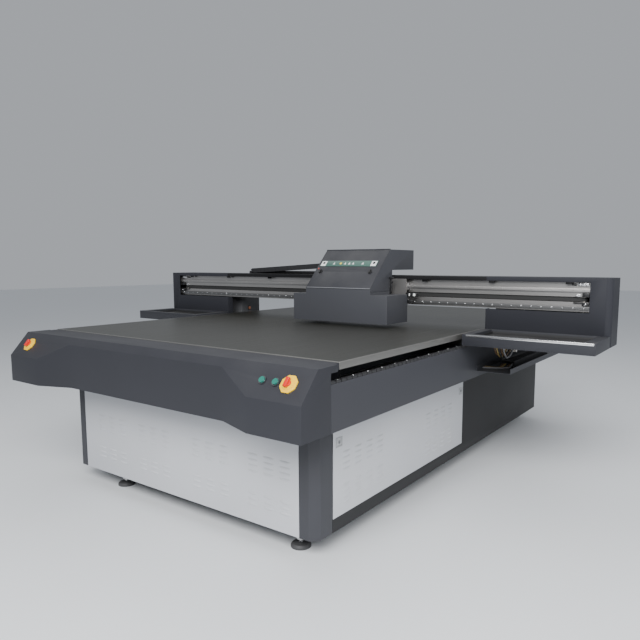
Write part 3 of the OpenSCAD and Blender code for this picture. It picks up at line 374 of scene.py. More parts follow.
# Bright aluminium for the right tray's front hem only: a painted highlight.
TRAY_HIGHLIGHT_EDGE = metal("tray_edge_aluminium", (0.80, 0.80, 0.80), 0.25)
THREAD_Y = threaded("thread_along_y", "Y")
THREAD_Z = threaded("thread_along_z", "Z")
KEYPAD_TEAL = moulded("keypad_teal", (0.050, 0.120, 0.096), 0.40, coat=0.2)
ICON_WHITE = moulded("icon_white", (0.80, 0.82, 0.80), 0.4)
ICON_YELLOW = moulded("icon_yellow", (0.75, 0.60, 0.06), 0.4)
LAMP_RED = moulded("lamp_red", (0.40, 0.06, 0.04), 0.3, coat=0.4)
STRIP_GREY = moulded("strip_grey", (0.022, 0.022, 0.024), 0.5)
SCREW_ZINC = metal("screw_zinc", (0.66, 0.66, 0.67), 0.25, stretch=(200.0, 200.0, 200.0))
# Black for painted shade in the bed's suction holes and behind the side slots, and for the keypad's dark
# dots.
SHADE_AND_DOT_BLACK = coated("shadow_black", (0.003, 0.003, 0.004), 0.9, dust=0.0, gleam=0.05)
AMBER = moulded("sensor_amber", (0.42, 0.15, 0.07), 0.35, coat=0.4)
INKS = [moulded("ink_" + name, colour, 0.3, coat=0.3) for name, colour in (
    ("cyan", (0.02, 0.32, 0.60)), ("magenta", (0.55, 0.03, 0.22)), ("yellow", (0.80, 0.62, 0.03)),
    ("black", (0.02, 0.02, 0.02)), ("white", (0.80, 0.80, 0.80)), ("varnish", (0.62, 0.55, 0.40)))]
CABLES = [moulded("cable_" + name, colour, 0.45) for name, colour in (
    ("brown", (0.12, 0.070, 0.035)), ("yellow", (0.34, 0.25, 0.09)), ("black", (0.02, 0.02, 0.02)),
    ("grey", (0.22, 0.22, 0.23)))]

# Nodes whose look differs from the rest of their material slot
OWN_FINISH = {
    # side_skins, rear_skin and drip_pans take the darker skin coat, which carries painted shade.
    "side_skins": SHADED_SKIN_COAT, "rear_skin": SHADED_SKIN_COAT, "drip_pans": SHADED_SKIN_COAT,
    "table_trim": TRIM_METAL, "front_apron": APRON_COAT, "side_aprons": SIDE_COAT,
    "gantry_legs": LEG_COAT, "beam_cover": COVER_COAT, "end_housings": HOUSING_COAT,
    "carriage_cover": CARRIAGE_COAT, "hood_shell": CARRIAGE_COAT,
    "beam": BEAM_METAL, "saddle": BEAM_METAL, "x_rails": BEAM_METAL,
    "y_screw_left": THREAD_Y, "y_screw_right": THREAD_Y, "z_screw": THREAD_Z}


def finish_of(node):
    return OWN_FINISH.get(node, FINISHES[slot_of[node]])


# ---- Mesh work ----


def slab(bm, low, high, turn=Matrix.Identity(4)):
    """A box between two corners, added to a bmesh."""
    low, high = Vector(low), Vector(high)
    place = Matrix.Translation((low + high) / 2) @ Matrix.Diagonal((*(high - low), 1))
    bmesh.ops.create_cube(bm, size=1.0, matrix=turn @ place)


def turned(bm, profile, segments=20, place=Matrix.Identity(4)):
    """A closed solid of revolution about Z: profile is a list of (radius, height) from the bottom up."""
    rings = []
    for radius, height in profile:
        if radius < 1e-9:
            rings.append([bm.verts.new(place @ Vector((0, 0, height)))])
            continue
        angles = (2 * math.pi * i / segments for i in range(segments))
        rings.append([bm.verts.new(place @ Vector((radius * math.cos(a), radius * math.sin(a), height)))
                      for a in angles])
    for lower, upper in zip(rings, rings[1:]):
        for i in range(segments):
            j = (i + 1) % segments
            corners = [lower[i % len(lower)], lower[j % len(lower)],
                       upper[j % len(upper)], upper[i % len(upper)]]
            unique = list(dict.fromkeys(corners))
            if len(unique) > 2:
                bm.faces.new(unique)
    for ring, flip in ((rings[0], True), (rings[-1], False)):
        if len(ring) > 1:
            bm.faces.new(ring[::-1] if flip else ring)


def tube_along(bm, points, radius, segments=8):
    """A closed round tube through a list of points."""
    rings = []
    for i, point in enumerate(points):
        ahead = (points[min(i + 1, len(points) - 1)] - points[max(i - 1, 0)]).normalized()
        side = ahead.cross(Vector((0.13, 0.31, 0.94))).normalized()
        other = ahead.cross(side)
        rings.append([bm.verts.new(point + radius * (side * math.cos(a) + other * math.sin(a)))
                      for a in (2 * math.pi * k / segments for k in range(segments))])
    for lower, upper in zip(rings, rings[1:]):
        for k in range(segments):
            j = (k + 1) % segments
            bm.faces.new((lower[k], lower[j], upper[j], upper[k]))
    bm.faces.new(rings[0][::-1])
    bm.faces.new(rings[-1])


def finished(name, bm, finish, body=None, bevel=0.0, segments=2, smooth=35):
    """Turns a bmesh into a finished piece, with an optional small bevel, and lets it ride on its body."""
    bmesh.ops.recalc_face_normals(bm, faces=bm.faces)
    mesh = bpy.data.meshes.new(name)
    bm.to_mesh(mesh)
    bm.free()
    piece = bpy.data.objects.new(name, mesh)
    bpy.context.scene.collection.objects.link(piece)
    if bevel:
        modifier = piece.modifiers.new("bevel", "BEVEL")
        modifier.width = bevel
        modifier.segments = segments
        modifier.limit_method = "ANGLE"
        modifier.angle_limit = math.radians(40)
        applied(piece)
    for material in finish if isinstance(finish, list) else [finish]:
        piece.data.materials.append(material)
    piece.data.shade_smooth()
    piece.data.set_sharp_from_angle(angle=math.radians(smooth))
    if body:
        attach(piece, body)
    return piece


def applied(piece):
    """Replaces a piece's mesh with its evaluated mesh and drops its modifiers."""
    graph = bpy.context.evaluated_depsgraph_get()
    graph.update()
    mesh = bpy.data.meshes.new_from_object(piece.evaluated_get(graph), depsgraph=graph)
    mesh.name = piece.name
    piece.modifiers.clear()
    piece.data = mesh


def softened(node, fold=0.003, edge=0.0006, wide=0.012):
    """A copy of a sheet-metal node with rounded folds and slightly broken edges, which replaces it."""
    bm = bmesh.new()
    bm.from_mesh(nodes[node].data)
    bmesh.ops.remove_doubles(bm, verts=bm.verts, dist=2e-6)
    bmesh.ops.dissolve_limit(bm, angle_limit=math.radians(0.5), verts=bm.verts, edges=bm.edges)
    weight = bm.edges.layers.float.new("bevel_weight_edge")
    for line in bm.edges:
        if len(line.link_faces) != 2 or not line.is_convex:
            continue
        if line.calc_face_angle(0) < math.radians(20):
            continue
        broad = all(face.calc_area() > wide * line.calc_length() for face in line.link_faces)
        line[weight] = 1.0 if broad and line.calc_length() > 0.02 else edge / fold
    mesh = bpy.data.meshes.new(node + "_finished")
    bm.to_mesh(mesh)
    bm.free()
    piece = bpy.data.objects.new(node + "_finished", mesh)
    bpy.context.scene.collection.objects.link(piece)
    modifier = piece.modifiers.new("bevel", "BEVEL")
    modifier.width = fold
    modifier.segments = 3
    modifier.limit_method = "WEIGHT"
    modifier.use_clamp_overlap = True
    applied(piece)
    piece.data.materials.clear()
    piece.data.materials.append(finish_of(node))
    piece.data.shade_smooth()
    piece.data.set_sharp_from_angle(angle=math.radians(32))
    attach(piece, nodes[node]["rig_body"])
    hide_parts(node)
    return piece


# ---- Geometry Nodes that repeat small parts ----

def geometry_tree(name, inputs):
    tree = bpy.data.node_groups.new(name, "GeometryNodeTree")
    for socket, kind in inputs.items():
        tree.interface.new_socket(socket, in_out="INPUT", socket_type=kind)
    tree.interface.new_socket("Geometry", in_out="OUTPUT", socket_type="NodeSocketGeometry")
    n = Nodes(tree)
    return tree, n, n.add("NodeGroupInput"), n.add("NodeGroupOutput")


def end_tree(tree, n, start, end, points, turn=None):
    """Puts the part on the points, makes it real and gives it its finish."""
    part = n.add("GeometryNodeObjectInfo", {"Object": start.outputs["Part"], "As Instance": True})
    place = n.add("GeometryNodeInstanceOnPoints", {"Points": points, "Instance": part.outputs["Geometry"]})
    if turn is not None:
        tree.links.new(turn, place.inputs["Rotation"])
    real = n.add("GeometryNodeRealizeInstances", {"Geometry": place.outputs["Instances"]})
    made = real.outputs["Geometry"]
    coat = n.add("GeometryNodeSetMaterial", {"Geometry": made, "Material": start.outputs["Finish"]})
    tree.links.new(coat.outputs["Geometry"], end.inputs["Geometry"])


def make_grid_tree():
    """Parts on a rectangular grid in the XY plane, centred."""
    tree, n, start, end = geometry_tree("grid_of_parts", {
        "Columns": "NodeSocketInt", "Rows": "NodeSocketInt",
        "Width": "NodeSocketFloat", "Length": "NodeSocketFloat",
        "Part": "NodeSocketObject", "Finish": "NodeSocketMaterial"})
    grid = n.add("GeometryNodeMeshGrid", {
        "Vertices X": start.outputs["Columns"], "Vertices Y": start.outputs["Rows"],
        "Size X": start.outputs["Width"], "Size Y": start.outputs["Length"]})
    end_tree(tree, n, start, end, grid.outputs["Mesh"])
    return tree


def make_line_tree():
    """Parts in a straight line from a start point, one step apart."""
    tree, n, start, end = geometry_tree("line_of_parts", {
        "Count": "NodeSocketInt", "Start": "NodeSocketVector", "Step": "NodeSocketVector",
        "Part": "NodeSocketObject", "Finish": "NodeSocketMaterial"})
    line = n.add("GeometryNodeMeshLine", {
        "Count": start.outputs["Count"], "Start Location": start.outputs["Start"],
        "Offset": start.outputs["Step"]})
    end_tree(tree, n, start, end, line.outputs["Mesh"])
    return tree


def make_arc_tree():
    """Parts round an arc about the X axis, each turned to face along it."""
    tree, n, start, end = geometry_tree("arc_of_parts", {
        "Count": "NodeSocketInt", "Radius": "NodeSocketFloat", "First Angle": "NodeSocketFloat",
        "Sweep": "NodeSocketFloat", "Part": "NodeSocketObject", "Finish": "NodeSocketMaterial"})
    line = n.add("GeometryNodeMeshLine", {"Count": start.outputs["Count"]})
    index = n.add("GeometryNodeInputIndex").outputs["Index"]
    gaps = worked(n, "SUBTRACT", start.outputs["Count"], 1.0)
    swept = worked(n, "MULTIPLY", worked(n, "DIVIDE", index, gaps), start.outputs["Sweep"])
    angle = worked(n, "ADD", swept, start.outputs["First Angle"])
    up = worked(n, "MULTIPLY", worked(n, "SINE", angle), start.outputs["Radius"])
    out = worked(n, "MULTIPLY", worked(n, "COSINE", angle), start.outputs["Radius"])
    place = n.add("ShaderNodeCombineXYZ", {"Y": out, "Z": up}).outputs["Vector"]
    moved = n.add("GeometryNodeSetPosition", {"Geometry": line.outputs["Mesh"], "Position": place})
    turn = n.add("ShaderNodeCombineXYZ", {"X": angle})
    end_tree(tree, n, start, end, moved.outputs["Geometry"], turn.outputs["Vector"])
    return tree


GRID = make_grid_tree()
LINE = make_line_tree()
ARC = make_arc_tree()


def seed_part(name, build):
    """A small part that the trees repeat; it is removed once everything is made."""
    bm = bmesh.new()
    build(bm)
    bmesh.ops.recalc_face_normals(bm, faces=bm.faces)
    mesh = bpy.data.meshes.new(name)
    bm.to_mesh(mesh)
    bm.free()
    part = bpy.data.objects.new(name, mesh)
    bpy.context.scene.collection.objects.link(part)
    SEEDS.append(part)
    return part


def grown(tree, place=Matrix.Identity(4), **values):
    """Evaluates a tree with the given inputs and returns its plain mesh, moved to its place."""
    holder = bpy.data.objects.new("holder", bpy.data.meshes.new("holder"))
    bpy.context.scene.collection.objects.link(holder)
    modifier = holder.modifiers.new("repeat", "NODES")
    modifier.node_group = tree
    sockets = {item.name: item.identifier for item in tree.interface.items_tree if item.in_out == "INPUT"}
    for key, value in values.items():
        modifier[sockets[key.replace("_", " ")]] = value
    graph = bpy.context.evaluated_depsgraph_get()
    graph.update()
    mesh = bpy.data.meshes.new_from_object(holder.evaluated_get(graph), depsgraph=graph)
    mesh.transform(place)
    bpy.data.objects.remove(holder)
    return mesh


def joined(name, meshes, body=None, smooth=35):
    """Several meshes as one piece, keeping each one's finish."""
    bm = bmesh.new()
    finishes = []
    for mesh in meshes:
        first = len(bm.faces)
        bm.from_mesh(mesh)
        bm.faces.ensure_lookup_table()
        for face in bm.faces[first:]:
            material = mesh.materials[min(face.material_index, len(mesh.materials) - 1)]
            if material not in finishes:
                finishes.append(material)
            face.material_index = finishes.index(material)
    mesh = bpy.data.meshes.new(name)
    bm.to_mesh(mesh)
    bm.free()
    piece = bpy.data.objects.new(name, mesh)
    for material in finishes:
        mesh.materials.append(material)
    mesh.shade_smooth()
    mesh.set_sharp_from_angle(angle=math.radians(smooth))
    bpy.context.scene.collection.objects.link(piece)
    if body:
        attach(piece, body)
    return piece


SEEDS = []

# Turns that stand a part's +Z out of the front, right and left faces
OUT_FRONT = Matrix.Rotation(math.radians(90), 4, "X")
OUT_RIGHT = Matrix.Rotation(math.radians(90), 4, "Z") @ Matrix.Rotation(math.radians(90), 4, "X")
OUT_LEFT = Matrix.Rotation(math.radians(-90), 4, "Z") @ Matrix.Rotation(math.radians(90), 4, "X")
OUT_BACK = Matrix.Rotation(math.radians(180), 4, "Z") @ OUT_FRONT


def build_screw(bm, radius=0.0045, height=0.0024):
    """A button-head screw with a hexagon socket."""
    dome = [(radius, 0), (radius, height * 0.25), (radius * 0.86, height * 0.72), (radius * 0.52, height)]
    socket = [(radius * 0.50, height * 0.98), (radius * 0.46, height * 0.35), (0, height * 0.32)]
    turned(bm, [(0, 0)] + dome + socket, segments=12)


def build_louvre(bm, width=0.066, height=0.010, rise=0.0045, steps=6):
    """A pressed louvre: a hood that leans out to a thin lower lip, closed at both ends."""
    rows = []
    for i in range(steps + 1):
        along = -width / 2 + width * i / steps
        swell = math.sin(math.pi * i / steps) ** 0.4 if 0 < i < steps else 0.02
        profile = ((height / 2, 0), (height * 0.1, rise * 0.75 * swell),
                   (-height * 0.42, rise * swell), (-height / 2, 0))
        rows.append([bm.verts.new((along, down, out)) for down, out in profile])
    for a, b in zip(rows, rows[1:]):
        for k in range(4):
            bm.faces.new((a[k], b[k], b[(k + 1) % 4], a[(k + 1) % 4]))
    bm.faces.new(rows[0])
    bm.faces.new(rows[-1][::-1])


def build_hole(bm, radius=0.0013):
    """A black disc at the mouth of a suction hole: painted shade inside the hole."""
    turned(bm, [(radius, -0.0002), (radius, 0.00005)], 8)


def link_builder(pitch, width, height, upright=False):
    """A chain link: two side plates and two crossbars; it runs along Y, or along Z for a bend."""
    def build(bm):
        turn = Matrix.Rotation(math.radians(90), 4, "X") if upright else Matrix.Identity(4)
        plate, bar, bar_height = 0.007, pitch * 0.34, 0.005
        for side in (-1, 1):
            edge = side * (width / 2 - plate / 2)
            slab(bm, (edge - plate / 2, -pitch * 0.49, -height / 2),
                 (edge + plate / 2, pitch * 0.49, height / 2), turn)
            level = side * (height / 2 - bar_height)
            slab(bm, (-width / 2 + plate, -bar / 2, level - bar_height / 2),
                 (width / 2 - plate, bar / 2, level + bar_height / 2), turn)
    return build


# ---- The machine, section by section ----


def dress_nodes():
    """Every CAD node gets the finish of its material slot."""
    for node, piece in nodes.items():
        finish = finish_of(node)
        if piece.material_slots:
            for place in piece.material_slots:
                place.material = finish
        else:
            piece.data.materials.append(finish)


# The radius of each sheet-metal node's folds
SHEET_METAL = {
    "corner_posts": 0.003, "side_skins": 0.002, "front_panel": 0.0012, "side_panels": 0.0012,
    "rear_skin": 0.002, "front_apron": 0.004, "side_aprons": 0.003, "rear_apron": 0.003,
    "table_trim": 0.002, "beam_cover": 0.003, "end_housings": 0.004, "side_trays": 0.004,
    "gantry_legs": 0.003, "carriage_cover": 0.004, "hood_shell": 0.004, "hood_lid": 0.003,
    "drip_pans": 0.0015, "switch_plates": 0.0015, "switch_handle_left": 0.002,
    "switch_handle_right": 0.002, "x_motor": 0.002, "y_motors": 0.002, "electrics_box": 0.002,
    "ink_tanks": 0.004}


def soften_sheet_metal():
    for node, fold in SHEET_METAL.items():
        softened(node, fold=fold, edge=min(0.0006, fold / 2))


def add_louvres():
    """Pressed louvres in the front panel and both side panels."""
    louvre = seed_part("louvre", build_louvre)
    silver = FINISHES["silver_coat"]
    for name, high, rows in (("upper", 0.402, 4), ("lower", 0.220, 3)):
        meshes = [grown(GRID, Matrix.Translation((x, front_lo.y, high)) @ OUT_FRONT, Columns=3, Rows=rows,
                        Width=2 * LOUVRE_COLUMN, Length=(rows - 1) * LOUVRE_ROW, Part=louvre, Finish=silver)
                  for x in (-0.580, -0.190, 0.265, 0.672)]
        joined("front_louvres_" + name, meshes, "base")
    for side, turn, x in (("right", OUT_RIGHT, panel_hi.x), ("left", OUT_LEFT, panel_lo.x)):
        meshes = [grown(GRID, Matrix.Translation((x, y, z)) @ turn, Columns=4, Rows=4,
                        Width=3 * LOUVRE_COLUMN, Length=3 * LOUVRE_ROW, Part=louvre, Finish=silver)
                  for y in (panel_lo.y + 0.262, panel_hi.y - 0.355) for z in (0.427, 0.265)]
        joined("side_louvres_" + side, meshes, "base")


def add_panel_pulls():
    """A flush pull with a keyed lock near both top corners of each side panel."""
    for side, turn, x in (("right", OUT_RIGHT, panel_hi.x), ("left", OUT_LEFT, panel_lo.x)):
        for end, y in (("front", panel_lo.y + 0.047), ("rear", panel_hi.y - 0.038)):
            place = Matrix.Translation((x, y, 0.527)) @ turn
            bm = bmesh.new()
            for low, high in (((-0.026, 0.018, 0), (0.026, 0.023, 0.003)),
                              ((-0.026, -0.023, 0), (0.026, -0.018, 0.003)),
                              ((-0.026, -0.018, 0), (-0.021, 0.018, 0.003)),
                              ((0.021, -0.018, 0), (0.026, 0.018, 0.003)),
                              ((-0.0205, -0.0175, 0), (0.0205, 0.0175, 0.0012))):
                slab(bm, low, high, place)
            name = f"{side}_{end}"
            grey = FINISHES["duct_plastic"]
            finished("panel_pull_" + name, bm, grey, "base", bevel=0.0006)
            bm = bmesh.new()
            lock = [(0.0085, 0.0012), (0.0085, 0.003), (0.0075, 0.0038), (0.0030, 0.0038),
                    (0.0028, 0.0022), (0, 0.0022)]
            turned(bm, lock, 20, place)
            finished("panel_lock_" + name, bm, FINISHES["bezel_metal"], "base")


def add_bed_holes():
    """Suction holes over the whole bed, in an even grid, each a black disc of painted shade."""
    hole = seed_part("bed_hole", build_hole)
    size = bed_hi - bed_lo
    columns, rows = int(size.x / HOLE_PITCH) - 1, int(size.y / HOLE_PITCH) - 1
    centre = ((bed_lo.x + bed_hi.x) / 2, (bed_lo.y + bed_hi.y) / 2, bed_hi.z)
    mesh = grown(GRID, Matrix.Translation(centre), Columns=columns, Rows=rows,
                 Width=(columns - 1) * HOLE_PITCH, Length=(rows - 1) * HOLE_PITCH, Part=hole, Finish=SHADE_AND_DOT_BLACK)
    joined("bed_suction_holes", [mesh], "base")


def add_slot_strips():
    """Cable-strip segments along each side slot's lower lip, with a screw in every third one."""
    def build_segment(bm):
        slab(bm, (-0.0085, -0.0165, 0), (0.0085, 0.0165, 0.009))
        slab(bm, (-0.0060, -0.0130, 0.009), (0.0060, 0.0130, 0.013))
    segment = seed_part("slot_segment", build_segment)
    screw = seed_part("slot_screw", lambda bm: build_screw(bm, 0.0034, 0.0018))
    top = side_apron_hi.z
    first, last = side_apron_lo.y + 0.02, side_apron_hi.y - 0.02
    count = int((last - first) / STRIP_PITCH)
    for side, sign in (("right", 1), ("left", -1)):
        x = sign * (side_apron_hi.x - 0.012)
        strip = grown(LINE, Count=count, Start=(x, first, top), Step=(0, STRIP_PITCH, 0), Part=segment,
                      Finish=STRIP_GREY)
        joined("slot_strip_" + side, [strip], "base")
        heads = grown(LINE, Count=count // 3, Start=(x, first + STRIP_PITCH, top + 0.013),
                      Step=(0, 3 * STRIP_PITCH, 0), Part=screw, Finish=SCREW_ZINC)
        joined("slot_screws_" + side, [heads], "base")


def add_slot_shade_sheets():
    """A black sheet on the wall behind each side slot, where it runs into the front apron: painted shade."""
    for side, sign in (("right", 1), ("left", -1)):
        xs = sorted((sign * 1.0981, sign * 1.0990))
        bm = bmesh.new()
        slab(bm, (xs[0], side_apron_lo.y + 0.001, side_apron_hi.z + 0.001),
             (xs[1], trim_lo.y - 0.002, trim_lo.z - 0.001))
        finished("slot_liner_" + side, bm, SHADE_AND_DOT_BLACK, "base")


def colour_rails():
    """The upper rail is bright like the beam and the lower one is dark; both have a row of screws."""
    rails = softened("x_rails", fold=0.001, edge=0.0005)
    middle = (rail_lo.z + rail_hi.z) / 2
    rails.data.materials.append(RAIL_DARK)
    for face in rails.data.polygons:
        if face.center.z < middle:
            face.material_index = 1
    screw = seed_part("rail_screw", lambda bm: build_screw(bm, 0.0042, 0.0012))
    for name, z, finish in (("lower", rail_lo.z + 0.010, SCREW_ZINC),
                            ("upper", rail_hi.z - 0.010, BEAM_METAL)):
        place = Matrix.Translation((0, rail_lo.y, z)) @ OUT_FRONT
        row = grown(LINE, place, Count=58, Start=(-28.5 * RAIL_SCREW_PITCH, 0, 0),
                    Step=(RAIL_SCREW_PITCH, 0, 0), Part=screw, Finish=finish)
        joined("rail_screws_" + name, [row], "gantry")


def add_screws(name, places, out, body, finish, radius=0.0042, height=0.0022):
    """Button-head screws at the given places; out turns +Z to face out of the surface."""
    bm = bmesh.new()
    for place in places:
        head = bmesh.new()
        build_screw(head, radius, height)
        mesh = bpy.data.meshes.new("head")
        head.to_mesh(mesh)
        head.free()
        mesh.transform(Matrix.Translation(place) @ out)
        bm.from_mesh(mesh)
        bpy.data.meshes.remove(mesh)
    return finished(name, bm, finish, body)


def add_beam_end_fittings():
    """Belt clamps, stops and small sensors on the beam's face, just inside both housings."""
    back = rail_hi.y
    for side, sign in (("right", 1), ("left", -1)):
        def across(low, high):
            xs = sorted((sign * low[0], sign * high[0]))
            return (xs[0], *low[1:]), (xs[1], *high[1:])
        bm = bmesh.new()
        slab(bm, *across((1.672, back - 0.012, 1.2370), (1.730, back, 1.2510)))
        slab(bm, *across((1.660, back - 0.005, 1.1735), (1.686, back, 1.1870)))
        finished("belt_clamp_" + side, bm, SCREW_ZINC, "gantry", bevel=0.001)
        bm = bmesh.new()
        slab(bm, *across((1.698, back - 0.018, 1.1200), (1.738, back, 1.1420)))
        slab(bm, *across((1.650, back - 0.012, 1.1340), (1.699, back, 1.1420)))
        slab(bm, *across((1.699, back - 0.016, 1.1730), (1.736, back, 1.1960)))
        slab(bm, *across((1.640, back - 0.010, 1.2370), (1.664, back, 1.2480)))
        finished("beam_stop_" + side, bm, FINISHES["knob_plastic"], "gantry", bevel=0.0015)
        places = [(sign * 1.684, back - 0.012, 1.244), (sign * 1.718, back - 0.012, 1.244),
                  (sign * 1.668, back - 0.005, 1.1802), (sign * 1.718, back - 0.018, 1.1310)]
        add_screws("beam_end_screws_" + side, places, OUT_FRONT, "gantry", SCREW_ZINC, 0.006, 0.003)


def add_carriage_fittings():
    """The reader beside the carriage's back plate, and the cable clip above it."""
    bm = bmesh.new()
    slab(bm, (saddle_hi.x - 0.001, -0.010, 1.143), (saddle_hi.x + 0.086, 0.004, 1.170))
    slab(bm, (saddle_hi.x - 0.001, -0.010, 1.100), (saddle_hi.x + 0.052, 0.004, 1.122))
    finished("belt_reader", bm, FINISHES["knob_plastic"], "carriage", bevel=0.0015)
    bm = bmesh.new()
    for start, end in ((0.024, 0.032), (0.056, 0.072)):
        slab(bm, (saddle_hi.x + start, -0.0125, 1.148), (saddle_hi.x + end, -0.010, 1.165))
    finished("belt_reader_labels", bm, ICON_WHITE, "carriage", bevel=0.0004)
    front = saddle_lo.y
    bm = bmesh.new()
    slab(bm, (0.497, front - 0.006, 1.156), (0.509, front - 0.002, 1.276))
    slab(bm, (0.497, front - 0.018, 1.262), (0.530, front - 0.006, 1.276))
    slab(bm, (0.509, front - 0.006, 1.232), (0.522, front - 0.002, 1.246))
    finished("cable_clip", bm, FINISHES["knob_plastic"], "print_head", bevel=0.001)


def add_tray_edges():
    """A hem along the top of each tray's front: bright aluminium on the right, standing in as a painted
    highlight, and coated on the left.
    """
    for side, sign, finish in (("right", 1, TRAY_HIGHLIGHT_EDGE), ("left", -1, FINISHES["powder_coat"])):
        xs = sorted((sign * 1.160, sign * 1.852))
        bm = bmesh.new()
        slab(bm, (xs[0], tray_lo.y - 0.0015, 0.9450), (xs[1], tray_lo.y, 0.9572))
        finished("tray_edge_" + side, bm, finish, "gantry", bevel=0.001)


def add_chain_guide():
    """A low dark guide behind the short chain's upper run."""
    bm = bmesh.new()
    slab(bm, (-1.034, 0.2325, cover_hi.z), (-0.236, 0.2345, cover_hi.z + 0.022))
    slab(bm, (-1.034, 0.2325, cover_hi.z), (-0.236, 0.2460, cover_hi.z + 0.0015))
    finished("chain_guide", bm, FINISHES["knob_plastic"], "gantry", bevel=0.0005)


def add_leg_sensor():
    """A small amber sensor low on the left leg's inner side."""
    inner = LEG_WIDTH - leg_hi.x
    bm = bmesh.new()
    slab(bm, (inner, 0.262, 0.962), (inner + 0.004, 0.292, 1.000))
    finished("leg_sensor_base", bm, FINISHES["knob_plastic"], "gantry", bevel=0.001)
    bm = bmesh.new()
    slab(bm, (inner + 0.004, 0.266, 0.966), (inner + 0.008, 0.288, 0.988))
    finished("leg_sensor", bm, AMBER, "gantry", bevel=0.001)


def smooth_path(points, steps=6):
    """Points on a smooth curve through the given ones."""
    ends = [2 * points[0] - points[1], *points, 2 * points[-1] - points[-2]]
    path = []
    for a, b, c, d in zip(ends, ends[1:], ends[2:], ends[3:]):
        for i in range(steps):
            t = i / steps
            square, cube = 2 * a - 5 * b + 4 * c - d, 3 * b - a - 3 * c + d
            path.append(0.5 * (2 * b + (c - a) * t + square * t * t + cube * t ** 3))
    return path + [points[-1]]


def add_cables():
    """Short cables from both ends of the long chain: up into the tray, and down to the cabinet's side."""
    for i, finish in enumerate([CABLES[0], CABLES[1], CABLES[2], CABLES[0], CABLES[3]]):
        x = 1.212 + 0.014 * i
        dip = 0.010 * (i % 3)
        bm = bmesh.new()
        tube_along(bm, smooth_path([Vector(place) for place in (
            (x, 0.222, 0.846), (x, 0.180, 0.842 - dip), (x, 0.130, 0.806 - dip),
            (x - 0.004, 0.070, 0.790 - dip), (x - 0.008, 0.020, 0.830), (x - 0.010, 0.005, 0.922))]),
            CABLE_RADIUS)
        finished(f"tray_cable_{i}", bm, finish, "gantry")
        bm = bmesh.new()
        tube_along(bm, smooth_path([Vector(place) for place in (
            (x, 0.162, 0.724), (x, 0.140, 0.721), (x - 0.012, 0.110, 0.7075),
            (1.176 - 0.004 * i, 0.090 - 0.010 * i, 0.7075), (1.121, 0.082 - 0.011 * i, 0.7085))]),
            CABLE_RADIUS)
        finished(f"cabinet_cable_{i}", bm, finish, "base")


def add_ink_caps():
    """A cap in each ink's colour on the tanks in the left housing."""
    for i, finish in enumerate(INKS):
        bm = bmesh.new()
        place = Matrix.Translation((-1.363 - 0.08 * i, 0.126, 1.050))
        turned(bm, [(0.020, 0), (0.020, 0.010), (0.017, 0.013), (0, 0.013)], 20, place)
        finished(f"ink_cap_{i}", bm, finish, "gantry")


def add_rear_details():
    """Louvres and a cable-gland plate on the rear skin."""
    louvre = seed_part("rear_louvre", build_louvre)
    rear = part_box("rear_skin")[1].y
    meshes = [grown(GRID, Matrix.Translation((x, rear - 0.0001, 0.48)) @ OUT_BACK, Columns=3, Rows=5,
                    Width=2 * LOUVRE_COLUMN, Length=4 * LOUVRE_ROW, Part=louvre, Finish=SHADED_SKIN_COAT)
              for x in (-0.55, 0.55)]
    joined("rear_louvres", meshes, "base")
    place = Matrix.Translation((0, rear, 0.24)) @ OUT_BACK
    bm = bmesh.new()
    slab(bm, (-0.16, -0.045, 0), (0.16, 0.045, 0.002), place)
    finished("gland_plate", bm, FINISHES["duct_plastic"], "base", bevel=0.0006)
    for i in range(5):
        bm = bmesh.new()
        gland = [(0.016, 0.002), (0.016, 0.008), (0.012, 0.009), (0.012, 0.020), (0.009, 0.023), (0, 0.023)]
        turned(bm, gland, 12, place @ Matrix.Translation((-0.12 + 0.06 * i, 0, 0)))
        finished(f"cable_gland_{i}", bm, FINISHES["knob_plastic"], "base")


